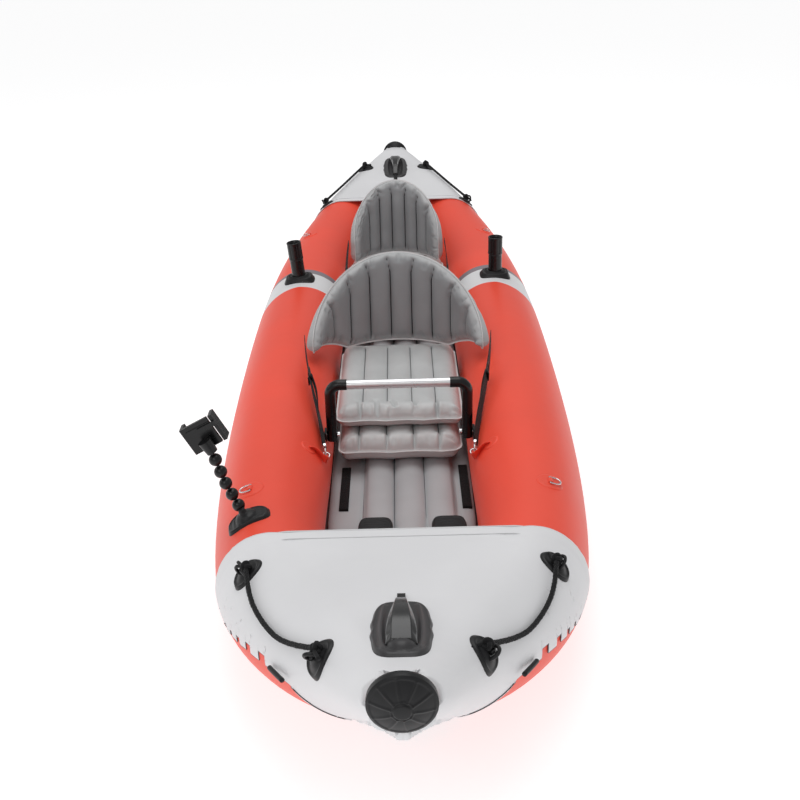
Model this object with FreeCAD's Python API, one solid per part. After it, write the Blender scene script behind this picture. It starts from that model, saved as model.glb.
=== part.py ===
import FreeCAD, Part
import math
import os

# Two-seat inflatable kayak. Millimetres, +Z up. The bow points to -Y and the stern to +Y.
# The origin is under the middle of the hull, on the surface that it stands on.

V = FreeCAD.Vector
X_AXIS = V(1, 0, 0)
Y_AXIS = V(0, 1, 0)
Z_AXIS = V(0, 0, 1)

# ---------------------------------------------------------------- driving dimensions
HALF_LENGTH = 1920.0
HALF_WIDTH = 470.0
TIP = 1888.0            # distance of each chamber's tip from the middle
SPLIT = 0.5             # half gap between the chambers where they meet at the nose

# Side chamber stations from the middle to a tip:
# distance along the boat, outer half width, half breadth, half height and centre height of the tube
BOW = [
    (450, 463, 141.0, 145, 145),
    (840, 445, 133.0, 144, 147),
    (1100, 420, 123.5, 141, 154),
    (1300, 384, 127.5, 139, 167),
    (1450, 327, 137.0, 128, 192),
    (1580, 243, 134.0, 118, 224),
    (1690, 163, 106.0, 92, 274),
    (1790, 102, 76.0, 62, 332),
    (TIP, 48, 41.0, 30, 391),
]
STERN = [
    (450, 462, 141.0, 145, 145),
    (840, 430, 128.0, 144, 147),
    (1100, 391, 124.0, 141, 154),
    (1300, 348, 128.0, 137, 169),
    (1450, 305, 134.0, 131, 189),
    (1580, 250, 130.0, 121, 221),
    (1690, 186, 108.0, 91, 269),
    (1790, 118, 80.0, 61, 315),
    (TIP, 54, 44.0, 28, 357),
]
MIDDLE = (0, HALF_WIDTH, 142.5, 145, 145)

SHEET = 2.5             # thickness of the coated fabric sheets
FLAT_HALF = 450.0       # half length of the flat part of the bottom
BOTTOM_LAP = 1.2        # how far the rising ends of the bottom hang below the chambers
DECK_CLEAR = 1.0        # gap between the deck covers and the chambers
DECK_EDGE = 1275.0      # cockpit edge of each deck cover on top
FLOOR_TOP = 85.0
FLOOR_SHIFT = 22.0      # sideways offset of the floor's tubes
FLOOR_PITCH = 80.0      # width of one floor tube

CAP_R = 55.0            # nose cap
CAP_Z = {-1: 402.0, 1: 362.0}
HANDLE_Y = {-1: 1682.0, 1: 1640.0}      # centre of each carry handle
HANDLE_LONG = 232.0
HANDLE_WIDE = 108.0
ROPE_D = 9.5

SEAT_SHIFT = 860.0      # distance from the front seat to the rear seat
PIVOT_Y = -60.0         # front backrest hinge line
PIVOT_Z = 232.0
LEAN = 12.0             # rest lean of a backrest, degrees

BAR_Y = -672.0          # accessory bar
BAR_Z = 358.0
BAR_R = 12.0
BAR_PIVOT_Z = 216.0
LEG_X = 175.0           # middle of a bar leg
LEG_R = 12.5
BOLT_END = 194.0

ROD_Y = 350.0           # rod holders
ROD_X = 335.0
ROD_Z = 291.0
ROD_R = 23.0
ROD_BORE_R = 20.0
ROD_TILT = {-1: 5.0, 1: 1.0}

RING_WIRE = 1.75        # radius of the D-ring wire
RING_HALF = 13.0        # half width of a D-ring
RING_SPOTS = {"bow_left": (-333, -1066), "bow_right": (333, -1066),
              "stern_left": (-335, 880), "stern_right": (335, 880)}

ARM_BALL = 13.8         # phone arm
ARM_JOINT = 5.5
ARM_NECK = 3.2
ARM_DROP = 8.0          # how far a joint lies below its ball's centre
PHONE_XY = (-327.0, -1190.0)
ARM_Y = -1178.0
ARM_CENTRES = [(-344, 317), (-355, 344), (-366, 371), (-374, 399), (-382, 428)]
CLAMP_LEAN = 28.0


# ---------------------------------------------------------------- general helpers
def box(x0, x1, y0, y1, z0, z1):
    return Part.makeBox(x1 - x0, y1 - y0, z1 - z0, V(x0, y0, z0))


def rod(start, end, radius):
    start = V(*start)
    end = V(*end)
    return Part.makeCylinder(radius, (end - start).Length, start, end - start)


def mirrored(shape):
    return shape.mirror(V(0, 0, 0), X_AXIS)


def turned(shape, centre, axis, degrees):
    turned_shape = shape.copy()
    turned_shape.rotate(V(*centre), axis, degrees)
    return turned_shape


def rounded_plate(length_x, length_y, height, corner):
    """Plate centred on the origin, its underside at z 0."""
    plate = box(-length_x / 2, length_x / 2, -length_y / 2, length_y / 2, 0, height)
    upright = [e for e in plate.Edges if abs(e.Vertexes[0].Z - e.Vertexes[-1].Z) > 0.5 * height]
    return plate.makeFillet(corner, upright)


def soft_block(x0, x1, y0, y1, z0, z1, radius):
    block = box(x0, x1, y0, y1, z0, z1)
    return block.makeFillet(radius, block.Edges)


def stand_on(shape, point, normal, spin=0.0):
    """Moves a shape made at the origin, with +Z as its outward side, to a point of a surface."""
    placed = shape.copy()
    turn = FreeCAD.Rotation(Z_AXIS, V(*normal))
    placed.Placement = FreeCAD.Placement(V(*point), turn.multiply(FreeCAD.Rotation(Z_AXIS, spin)))
    return placed


def along_upright(shape, start, end, fraction):
    """Moves a shape made along +Z so that its Y side stands as upright as the run allows."""
    direction = V(*end) - V(*start)
    z_side = V(*end) - V(*start)
    z_side.normalize()
    x_side = Z_AXIS.cross(z_side)
    x_side.normalize()
    y_side = z_side.cross(x_side)
    turn = FreeCAD.Rotation(x_side, y_side, z_side, "ZXY")
    placed = shape.copy()
    placed.Placement = FreeCAD.Placement(V(*start) + direction * fraction, turn)
    return placed


def save(name, *solids):
    if len(solids) == 1:
        shape = solids[0]
    else:
        shape = Part.makeCompound(list(solids))
    shape.exportStep("parts/" + name + ".step")
    flag = "" if shape.isValid() else "  NOT VALID"
    print(name, len(shape.Solids), "solids", round(shape.Volume / 1000.0, 1), "cm3" + flag)


# ---------------------------------------------------------------- hull sections
def all_stations():
    bow = [(-s[0],) + s[1:] for s in reversed(BOW)]
    return bow + [MIDDLE] + [tuple(s) for s in STERN]


def tube_wire(station):
    """Closed section of the right chamber, its seam on the cockpit side."""
    y, half_width, half_breadth, half_height, height = station
    circle = Part.Wire(Part.makeCircle(100.0, V(0, 0, 0), Y_AXIS))
    squeeze = FreeCAD.Matrix()
    squeeze.scale(V(-half_breadth / 100.0, 1.0, half_height / 100.0))
    section = circle.transformGeometry(squeeze)
    section.translate(V(half_width - half_breadth, y, height))
    return section


def envelope_wire(station, offset):
    """Closed section round both chambers: two half ellipses joined by straight spans."""
    y, half_width, half_breadth, half_height, height = station
    centre = half_width - half_breadth
    breadth = half_breadth + offset
    tall = half_height + offset
    edges = []
    for side in (1, -1):
        arc = Part.Arc(V(0, y, 100), V(100, y, 0), V(0, y, -100)).toShape()
        squeeze = FreeCAD.Matrix()
        squeeze.scale(V(side * breadth / 100.0, 1.0, side * tall / 100.0))
        half = arc.transformGeometry(squeeze)
        half.translate(V(side * centre, 0, height))
        edges.append(half)
        end = V(side * centre, y, height - side * tall)
        edges.append(Part.makeLine(end, V(-side * centre, y, height - side * tall)))
    return Part.Wire(edges)


def chamber():
    wires = [tube_wire(station) for station in all_stations()]
    tube = Part.makeLoft(wires, True, False)
    return tube.common(box(SPLIT, 600, -2000, 2000, -100, 700))


def envelope(offset):
    return Part.makeLoft([envelope_wire(station, offset) for station in all_stations()], True, False)


def top_of(shape, x, y):
    """Height of a shape's top surface over a point."""
    line = Part.makeLine(V(x, y, 700), V(x, y, 100))
    return max(vertex.Z for vertex in shape.common(line).Vertexes)


def surface(shape, x, y):
    """Point on top of a shape, and the outward normal there."""
    step = 6.0
    z = top_of(shape, x, y)
    slope_x = (top_of(shape, x + step, y) - top_of(shape, x - step, y)) / (2 * step)
    slope_y = (top_of(shape, x, y + step) - top_of(shape, x, y - step)) / (2 * step)
    normal = V(-slope_x, -slope_y, 1)
    normal.normalize()
    return (x, y, z), normal


# ---------------------------------------------------------------- hull
def bottom_sheet():
    """Sheet that joins the chambers underneath, from nose to nose, flat in the middle."""
    wires = []
    flat = []
    for y, half_width, half_breadth, half_height, height in all_stations():
        if abs(y) > 1600:
            continue
        half = half_width - half_breadth - 62.0
        low = height - half_height - (BOTTOM_LAP if abs(y) > FLAT_HALF else 0)
        corners = [V(-half, y, low), V(half, y, low), V(half, y, low + SHEET), V(-half, y, low + SHEET)]
        wires.append(Part.makePolygon(corners + [corners[0]]))
        if abs(y) <= FLAT_HALF:
            flat.append((half, y))
    ends = Part.makeLoft(wires, True, True).cut(box(-400, 400, -FLAT_HALF, FLAT_HALF, -50, 50))
    outline = [V(half, y, 0) for half, y in flat] + [V(-half, y, 0) for half, y in reversed(flat)]
    middle = Part.Face(Part.makePolygon(outline + [outline[0]])).extrude(V(0, 0, SHEET))
    return middle.fuse(ends)


def floor_section(y, half_width, low):
    """Three rounded tubes side by side between two flat strips."""
    strip_top = FLOOR_TOP - 24.0
    valley = FLOOR_TOP - 16.0
    lift = low - 6.0
    edges = []
    left = FLOOR_SHIFT - 1.5 * FLOOR_PITCH
    right = FLOOR_SHIFT + 1.5 * FLOOR_PITCH
    start = V(left, y, strip_top + lift)
    points = [V(right, y, strip_top + lift), V(half_width, y, strip_top + lift), V(half_width, y, low)]
    points += [V(-half_width, y, low), V(-half_width, y, strip_top + lift), start]
    here = start
    for index in range(3):
        end = V(left + (index + 1) * FLOOR_PITCH, y, (valley if index < 2 else strip_top) + lift)
        crest = V(left + (index + 0.5) * FLOOR_PITCH, y, FLOOR_TOP + lift)
        edges.append(Part.Arc(here, crest, end).toShape())
        here = end
    for first, second in zip(points[:-1], points[1:]):
        edges.append(Part.makeLine(first, second))
    return Part.Wire(edges)


def floor_insert():
    spots = [(-1120, 168, 17), (-840, 188, 7), (0, 194, 6), (840, 182, 7), (1120, 148, 17)]
    wires = [floor_section(*spot) for spot in spots]
    return Part.makeLoft(wires, True, False)


def deck_cover(shell, end):
    """Part of the shell over one nose: straight across at the cockpit, wrapped down each side."""
    outline = [(DECK_EDGE, 480), (DECK_EDGE, 148), (1400, 166), (1500, 190), (1600, 209),
               (1640, 206), (1662, 120), (1930, 300), (1930, 480)]
    points = [V(-600, end * y, z) for y, z in outline]
    face = Part.Face(Part.makePolygon(points + [points[0]]))
    return shell.common(face.extrude(V(1200, 0, 0)))


def nose_cap(end):
    """Round rubber cap, a shallow dome whose axis runs along the boat."""
    rise = 19.0
    dome_r = (CAP_R ** 2 + rise ** 2) / (2 * rise)
    height = CAP_Z[end]
    disc = rod((0, TIP + 1, height), (0, HALF_LENGTH + 5, height), CAP_R)
    cap = disc.common(Part.makeSphere(dome_r, V(0, HALF_LENGTH - dome_r, height)))
    if end < 0:
        cap = cap.mirror(V(0, 0, 0), Y_AXIS)
    return cap


def handle_base(end, skin):
    """Rubber plate bonded to the deck, flat on top and shaped to the deck below."""
    plate = rounded_plate(HANDLE_WIDE, HANDLE_LONG, 40, 30)
    point, normal = surface(skin, 0, end * HANDLE_Y[end])
    sunk = V(*point) - normal * 34.0
    return stand_on(plate, sunk, normal).cut(skin)


def handle_grip(end, skin):
    """Arched grip, narrow at the cockpit end and wide at the nose end, with a gap for the fingers."""
    point, normal = surface(skin, 0, end * HANDLE_Y[end])
    outer = Part.Wire([
        Part.makeLine(V(0, -88, 0), V(0, -58, 0)),
        Part.Arc(V(0, -58, 0), V(0, 12, 24), V(0, 58, 0)).toShape(),
        Part.makeLine(V(0, 58, 0), V(0, 80, 0)),
        Part.Arc(V(0, 80, 0), V(0, 16, 42), V(0, -88, 0)).toShape(),
    ])
    arch = Part.Face(outer).extrude(V(80, 0, 0))
    arch.translate(V(-40, 0, 0))
    plan = Part.makePolygon([V(-11, -95, -5), V(11, -95, -5), V(27, 85, -5), V(-27, 85, -5), V(-11, -95, -5)])
    grip = arch.common(Part.Face(plan).extrude(V(0, 0, 60)))
    if end < 0:
        grip = grip.mirror(V(0, 0, 0), Y_AXIS)
    return stand_on(grip, V(*point) + normal * 6.3, normal)


# ---------------------------------------------------------------- grab lines
# Rope routes on the right side, from loop to loop, lying close above the deck
GRAB_ROUTE = {
    "bow": [(303, -1392, 309.9), (293, -1463, 292.8), (256, -1546, 284.7), (206, -1625, 296.0), (141, -1703, 351.8)],
    "stern": [(296, 1300, 304.7), (266, 1385, 312.0), (226, 1478, 326.6), (181, 1566, 348.8), (134, 1652, 372.0)],
}


def grab_points(end_name, side):
    return [V(side * x, y, z) for x, y, z in GRAB_ROUTE[end_name]]


def rope(name, points, diameter):
    """Round rope along straight runs joined by tangent arcs as large as the runs allow."""
    edges = []
    radii = []
    here = points[0]
    for before, corner, after in zip(points[:-2], points[1:-1], points[2:]):
        into = corner - before
        out = after - corner
        turn = into.getAngle(out)
        cut = 0.45 * min(into.Length, out.Length)
        radii.append(cut / math.tan(turn / 2))
        start = corner - into.normalize() * cut
        finish = corner + out.normalize() * cut
        bisector = (start + finish) * 0.5 - corner
        bisector.normalize()
        depth = radii[-1] / math.cos(turn / 2) - radii[-1]
        edges.append(Part.makeLine(here, start))
        edges.append(Part.Arc(start, corner + bisector * depth, finish).toShape())
        here = finish
    edges.append(Part.makeLine(here, points[-1]))
    path = Part.Wire(edges)
    section = Part.Wire(Part.makeCircle(diameter / 2, points[0], points[1] - points[0]))
    solid = path.makePipeShell([section], True, False)
    expected = math.pi * diameter ** 2 / 4 * path.Length
    print(name, "length", round(path.Length, 1), "radii", [round(r) for r in radii],
          "volume ratio", round(solid.Volume / expected, 4))
    return solid


def grab_patches(end_name, skin):
    """Oval rubber patches, each with a raised loop that a rope is tied to."""
    solids = []
    for side in (-1, 1):
        for x, y, height in (GRAB_ROUTE[end_name][0], GRAB_ROUTE[end_name][-1]):
            point, normal = surface(skin, side * x, y)
            disc = Part.makeCylinder(27, 20, V(0, 0, -15))
            disc = stand_on(disc, V(*point) - normal * 1.5, normal).cut(skin)
            loop = Part.makeTorus(9, 2.5, V(0, 0, 0), X_AXIS)
            loop = loop.common(box(-20, 20, -20, 20, 0, 20))
            loop = stand_on(loop, V(*point) + normal * 3.8, normal)
            solids += [disc, loop]
    return solids


# ---------------------------------------------------------------- D-rings on the tubes
def ring_place(name, tube):
    """Hinge point of a D-ring and the outboard direction along the tube's skin."""
    x, y = RING_SPOTS[name]
    side = 1 if x > 0 else -1
    point, normal = surface(tube, x, y)
    normal = V(normal.x, 0, normal.z)
    normal.normalize()
    return V(*point) + normal * 5.0, normal, side


def d_ring(name, tube):
    centre, normal, side = ring_place(name, tube)
    reach = 12.0
    solids = [rod((0, -RING_HALF, 0), (0, RING_HALF, 0), RING_WIRE)]
    for end in (-1, 1):
        solids.append(rod((0, end * RING_HALF, 0), (reach, end * RING_HALF, 0), RING_WIRE))
        solids.append(Part.makeSphere(RING_WIRE, V(0, end * RING_HALF, 0)))
    bow = Part.makeTorus(RING_HALF, RING_WIRE, V(0, 0, 0), Z_AXIS)
    bow = bow.common(box(0, 30, -30, 30, -5, 5))
    bow.translate(V(reach, 0, 0))
    ring = solids[0].multiFuse(solids[1:] + [bow])
    if side < 0:
        ring = ring.mirror(V(0, 0, 0), X_AXIS)
    ring.Placement = FreeCAD.Placement(centre, FreeCAD.Rotation(Z_AXIS, normal))
    return ring


def d_ring_patch(name, tube):
    """Fabric patch with the sleeve that the ring's straight side turns in."""
    centre, normal, side = ring_place(name, tube)
    disc = Part.makeCylinder(30, 18, V(0, 0, -15))
    disc = stand_on(disc, centre - normal * 5.8, normal).cut(tube)
    sleeve = box(-4, 4, -8, 8, -3.6, 3.6).cut(rod((0, -9, 0), (0, 9, 0), RING_WIRE + 0.08))
    return [disc.cut(stand_on(box(-5, 5, -9, 9, -2, 20), centre, normal)), stand_on(sleeve, centre, normal)]


# ---------------------------------------------------------------- rod holders
def rod_axis(side):
    tilt = math.radians(ROD_TILT[side])
    return V(side * math.sin(tilt), 0, math.cos(tilt))


def rod_bore(side):
    """Space that a rod socket takes in its chamber."""
    axis = rod_axis(side)
    base = V(side * ROD_X, ROD_Y, ROD_Z)
    return Part.makeCylinder(ROD_R + 3.0, 260, base - axis * 210, axis)


def rod_socket(side, tube):
    axis = rod_axis(side)
    base = V(side * ROD_X, ROD_Y, ROD_Z)
    plate = stand_on(rounded_plate(104, 86, 40, 16), base - axis * 30, axis).cut(tube)
    collar = Part.makeCylinder(ROD_R + 9.0, 14, base + axis * 6, axis)
    sleeve = Part.makeCylinder(ROD_R + 3.0, 226, base - axis * 210, axis)
    bore = Part.makeCylinder(ROD_R + 0.08, 300, base - axis * 206, axis)
    return plate.multiFuse([collar, sleeve]).cut(bore)


def rod_holder(side):
    """Open tube that drops into its socket, with a rubber collar round its mouth."""
    axis = rod_axis(side)
    base = V(side * ROD_X, ROD_Y, ROD_Z)
    tube = Part.makeCylinder(ROD_R, 330, base - axis * 200, axis)
    bore = Part.makeCylinder(ROD_BORE_R, 322, base - axis * 192, axis)
    return tube.cut(bore)


# ---------------------------------------------------------------- accessory bar
def bar_leg(side):
    """Bent end of the bar: a socket for the tube, a right-angle bend and a leg with a bolt hole."""
    bend = 26.0
    corner = V(side * LEG_X, BAR_Y, BAR_Z)
    start = corner - V(side * 44, 0, 0)
    arc_start = corner - V(side * bend, 0, 0)
    arc_middle = corner + V(-side * bend * (1 - math.sin(math.pi / 4)), 0, -bend * (1 - math.cos(math.pi / 4)))
    arc_end = corner - V(0, 0, bend)
    low = V(side * LEG_X, BAR_Y, BAR_PIVOT_Z - 14)
    path = Part.Wire([
        Part.makeLine(start, arc_start),
        Part.Arc(arc_start, arc_middle, arc_end).toShape(),
        Part.makeLine(arc_end, low),
    ])
    section = Part.Wire(Part.makeCircle(LEG_R + 1.3, start, X_AXIS))
    leg = path.makePipeShell([section], True, False)
    socket = rod((0, BAR_Y, BAR_Z), (side * (LEG_X - 30), BAR_Y, BAR_Z), BAR_R)
    hole = rod((0, BAR_Y, BAR_PIVOT_Z), (side * 220, BAR_Y, BAR_PIVOT_Z), 4.06)
    return leg.cut(socket).cut(hole)


def accessory_bar():
    return rod((-LEG_X + 30, BAR_Y, BAR_Z), (LEG_X - 30, BAR_Y, BAR_Z), BAR_R)


def bar_bolt(side):
    """Pivot bolt with its head on the cockpit side."""
    inner = LEG_X - LEG_R - 1.3
    head = rod((side * (inner - 6.5), BAR_Y, BAR_PIVOT_Z), (side * (inner - 0.5), BAR_Y, BAR_PIVOT_Z), 8)
    shank = rod((side * (inner - 1), BAR_Y, BAR_PIVOT_Z), (side * BOLT_END, BAR_Y, BAR_PIVOT_Z), 4)
    return head.fuse(shank)


def bar_bracket(tube):
    """Plate on the chamber's inner wall that carries one leg (right side)."""
    outer = LEG_X + LEG_R + 1.3
    plate = box(outer + 0.4, outer + 6, BAR_Y - 14, BAR_Y + 20, BAR_PIVOT_Z - 18, BAR_PIVOT_Z + 11)
    plate = plate.cut(tube)
    return plate.cut(rod((100, BAR_Y, BAR_PIVOT_Z), (BOLT_END, BAR_Y, BAR_PIVOT_Z), 4))


# ---------------------------------------------------------------- seats
def seat_booster():
    return soft_block(-171, 171, -615, -66, 88, 166, 24)


def seat_pad():
    return soft_block(-177, 177, -565, -76, 169, 231, 22)


def half_ellipse(half_wide, rise, height):
    arc = Part.Arc(V(100, -400, 0), V(0, -400, 100), V(-100, -400, 0)).toShape()
    squeeze = FreeCAD.Matrix()
    squeeze.scale(V(half_wide / 100.0, 1.0, rise / 100.0))
    arc = arc.transformGeometry(squeeze)
    arc.translate(V(0, 0, height))
    return arc


def arched_back(half_wide, deep, thick, spring, rise, low_edge):
    """Curved pad that wraps forward round the sitter, arched on top.

    The plan is the rear half of an elliptic ring; low_edge is the right half of its lower edge."""
    centre_y = PIVOT_Y - 17 - deep
    outer = Part.Ellipse(V(0, 0, 0), half_wide, deep)
    ring = Part.Face(Part.Wire(outer.toShape())).extrude(V(0, 0, 500))
    inner = Part.Ellipse(V(0, 0, 0), half_wide - thick, deep - thick)
    ring = ring.cut(Part.Face(Part.Wire(inner.toShape())).extrude(V(0, 0, 500)))
    ring = ring.common(box(-400, 400, 0, 400, 0, 500))
    ring.translate(V(0, centre_y, 100))
    arch = Part.Wire([
        Part.makeLine(V(-half_wide, -400, spring), V(-half_wide, -400, 100)),
        Part.makeLine(V(-half_wide, -400, 100), V(half_wide, -400, 100)),
        Part.makeLine(V(half_wide, -400, 100), V(half_wide, -400, spring)),
        half_ellipse(half_wide, rise, spring),
    ])
    back = ring.common(Part.Face(arch).extrude(V(0, 500, 0)))
    back = turned(back, (0, PIVOT_Y, PIVOT_Z), X_AXIS, -LEAN)
    edge = [V(-x, -500, z) for x, z in reversed(low_edge)] + [V(x, -500, z) for x, z in low_edge]
    corners = [V(-400, -500, 0)] + edge + [V(400, -500, 0), V(-400, -500, 0)]
    below = Part.Face(Part.makePolygon(corners)).extrude(V(0, 700, 0))
    return back.cut(below)


def front_backrest():
    return arched_back(268, 264, 52, 275, 230, [(170, 238), (200, 257), (235, 276), (262, 288), (400, 296)])


def rear_backrest():
    back = arched_back(175, 173, 46, 325, 182, [(130, 238), (400, 262)])
    back.translate(V(0, SEAT_SHIFT, 0))
    return back


# Strap routes on the right side: from the backrest's side to the anchor on the chamber's inner wall
FRONT_STRAP = [(256, -336, 368), (222, -600, 285), (190, -760, 228)]
REAR_STRAP = [(168, 594, 322), (176, 98, 206)]
STRAP_WIDE = 22.0


def strap_run(start, end):
    length = (V(*end) - V(*start)).Length
    web = box(-1, 1, -STRAP_WIDE / 2, STRAP_WIDE / 2, 0, length)
    return along_upright(web, start, end, 0.0)


def straps(route):
    """Webbing on both sides of a seat."""
    web = strap_run(route[0], route[1])
    for start, end in zip(route[1:-1], route[2:]):
        web = web.fuse(strap_run(start, end))
    return [web, mirrored(web)]


def buckles(route, fraction):
    """Ladder-lock buckle on each side's webbing."""
    frame = box(-4, 4, -16, 16, -20, 20).cut(box(-1.5, 1.5, -12, 12, -30, 30))
    buckle = along_upright(frame, route[0], route[1], fraction)
    return [buckle, mirrored(buckle)]


def snap_hooks(route):
    """Hook at the lower end of each strap: a swivel eye and a ring-shaped hook."""
    start = V(*route[-2])
    end = V(*route[-1])
    ahead = (end - start).normalize()
    eye = box(-3, 3, -13, 13, 0.5, 7)
    eye = along_upright(eye, route[-1], tuple(end + ahead * 10), 0.0)
    hook = Part.makeTorus(8, 2.2, end + ahead * 16.3, X_AXIS)
    pair = eye.fuse(hook)
    return [pair, mirrored(pair)]


def strap_anchor(route, tube):
    """Small ring beyond each hook, and the patch on the chamber that it is sewn to."""
    start = V(*route[-2])
    end = V(*route[-1])
    ahead = (end - start).normalize()
    centre = end + ahead * 28.8
    ring = Part.makeTorus(9, 1.75, centre, Z_AXIS.cross(ahead).cross(ahead))
    patch = Part.makeCylinder(22, 60, V(centre.x - 20, centre.y - 26, centre.z), X_AXIS)
    proud = tube.copy()
    proud.translate(V(-2.5, 0, 0))
    patch = patch.common(proud).cut(tube)
    return [ring, patch, mirrored(ring), mirrored(patch)]


# ---------------------------------------------------------------- floor fittings
def foot_pads(floor):
    pads = []
    for x in (FLOOR_SHIFT - 86, FLOOR_SHIFT + 94):
        pad = rounded_plate(87, 204, 30, 16)
        pad.translate(V(x, -976, FLOOR_TOP - 24))
        pads.append(pad.cut(floor))
    return pads


def hook_loop_strips(floor):
    strips = []
    for x0 in (-160, 156):
        strip = box(x0, x0 + 24, -800, -580, FLOOR_TOP - 40, FLOOR_TOP - 18)
        strips.append(strip.cut(floor))
    return strips


# ---------------------------------------------------------------- valves and fin base
VALVE_Y = 1060.0
VALVE_Z = 215.0
FLOOR_VALVE = (FLOOR_SHIFT + FLOOR_PITCH / 2, 1000.0)


def valve_body():
    """Valve flange with a short threaded mouth, made along +Z."""
    flange = Part.makeCylinder(26, 3, V(0, 0, 0))
    mouth = Part.makeCylinder(15, 9, V(0, 0, 0))
    hinge_ear = box(-6, 6, 16.9, 22.1, 0, 8.4).cut(rod((-10, 19.5, 6), (10, 19.5, 6), 1.58))
    body = flange.multiFuse([mouth, hinge_ear]).cut(Part.makeCylinder(11, 30, V(0, 0, -10)))
    return body


def valve_cap():
    """Screw-down cap on a tether ear that turns on the flange's hinge pin."""
    disc = Part.makeCylinder(17, 4, V(0, 0, 9.4))
    plug = Part.makeCylinder(10.2, 4.6, V(0, 0, 5))
    arms = []
    for x in (-9.5, 6.5):
        arm = box(x, x + 3, 8, 21.4, 9.4, 13.4).fuse(box(x, x + 3, 17.6, 21.4, 4.4, 13.4))
        arms.append(arm)
    pin = rod((-9.5, 19.5, 6), (9.5, 19.5, 6), 1.5)
    return disc.multiFuse([plug, pin] + arms)


def wall_place(tube, side):
    """Point on a chamber's inner wall and the direction towards the cockpit."""
    line = Part.makeLine(V(0, VALVE_Y, VALVE_Z), V(side * 500, VALVE_Y, VALVE_Z))
    x = side * min(abs(vertex.X) for vertex in tube.common(line).Vertexes)
    above = Part.makeLine(V(0, VALVE_Y, VALVE_Z + 8), V(side * 500, VALVE_Y, VALVE_Z + 8))
    x_above = side * min(abs(vertex.X) for vertex in tube.common(above).Vertexes)
    normal = V(-8 * side, 0, abs(x_above - x))
    normal.normalize()
    return V(x, VALVE_Y, VALVE_Z) + normal * 1.2, normal


def fin_base():
    """Slotted track under the stern that a fin slides into."""
    track = box(-18, 18, -75, 75, -10, 0)
    track = track.cut(box(-8, 8, -80, 60, -8, -3))
    track = track.cut(box(-3.5, 3.5, -80, 60, -12, -5))
    track = turned(track, (0, 0, 0), X_AXIS, 8.5)
    track.translate(V(0, 1385, 41.5))
    return track


# ---------------------------------------------------------------- phone mount
def phone_plate(tube):
    """Plate bonded to the left chamber, with a domed foot and the first ball of the arm."""
    point, normal = surface(tube, *PHONE_XY)
    plate = stand_on(rounded_plate(98, 60, 40, 16), V(*point) - normal * 35, normal, 11).cut(tube)
    first = V(ARM_CENTRES[0][0], ARM_Y, ARM_CENTRES[0][1])
    second = V(ARM_CENTRES[1][0], ARM_Y, ARM_CENTRES[1][1])
    ahead = (second - first).normalize()
    joint = first - ahead * ARM_DROP
    foot = V(joint.x + 4, ARM_Y, joint.z - 26)
    dome = Part.makeCone(22, 9, 12, foot, ahead)
    neck = Part.makeCylinder(ARM_NECK, 26, joint - ahead * 26, ahead)
    ball = Part.makeSphere(ARM_JOINT, joint)
    return plate.multiFuse([dome, neck, ball]).cut(tube)


def arm_link(index):
    """Ball with a socket in its underside and a stud with a small ball on top."""
    points = [V(x, ARM_Y, z) for x, z in ARM_CENTRES]
    here = points[index]
    ahead = arm_direction(index)
    joint = here - ahead * ARM_DROP
    link = Part.makeSphere(ARM_BALL, here)
    socket = Part.makeSphere(ARM_JOINT + 0.08, joint)
    mouth = Part.makeCone(2.4, 9.5, 9, joint, ahead * -1)
    link = link.cut(socket).cut(mouth)
    next_joint = arm_joint(index + 1)
    reach = next_joint - here
    stud = Part.makeCylinder(ARM_NECK, reach.Length - 11.5, here + reach.normalize() * 11.5, reach)
    return link.multiFuse([stud, Part.makeSphere(ARM_JOINT, next_joint)])


def arm_direction(index):
    """Direction from a link's joint to its ball."""
    points = [V(x, ARM_Y, z) for x, z in ARM_CENTRES]
    first = max(index - 1, 0)
    return (points[first + 1] - points[first]).normalize()


def arm_joint(index):
    """Centre of the small ball that link number index turns on; the clamp is number 5."""
    if index == len(ARM_CENTRES):
        x, z = ARM_CENTRES[-1]
        return V(x, ARM_Y, z) + arm_direction(index - 1) * 21.5
    x, z = ARM_CENTRES[index]
    return V(x, ARM_Y, z) - arm_direction(index) * ARM_DROP


def clamp_frame(shape):
    """Places a clamp piece made at the origin, its arm side down and its jaws towards +Y."""
    joint = arm_joint(len(ARM_CENTRES))
    placed = turned(shape, (0, 0, 0), Y_AXIS, -CLAMP_LEAN)
    placed.translate(joint)
    return placed


def clamp_body():
    """Collar on the last ball joint, back plate, and the fixed jaw on the outboard side."""
    collar = Part.makeCone(12, 15, 30, V(0, 0, -3), Z_AXIS)
    collar = collar.cut(Part.makeSphere(ARM_JOINT + 0.08, V(0, 0, 0)))
    collar = collar.cut(Part.makeCone(2.4, 9.5, 9, V(0, 0, 0), V(0, 0, -1)))
    back = box(-40, 26, 15, 22, 2, 66)
    web = box(-8, 8, 0, 16, 18, 27)
    jaw = box(-40, -32, 21, 44, 2, 66)
    rail = box(-30, 34, 9, 14.6, 40, 56).cut(box(-27, 40, 7, 12, 44, 52))
    return collar.multiFuse([back, web, jaw, box(-30, 26, 13, 16, 40, 56)])


def clamp_jaw():
    """Sliding jaw on the inboard side, guided by a tongue behind the back plate."""
    jaw = box(30, 38, 15, 44, 2, 66)
    tongue = box(-4, 31, 9.4, 12.6, 43, 53)
    link = box(30, 38, 9.4, 15.5, 43, 53)
    return jaw.multiFuse([tongue, link])


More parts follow.
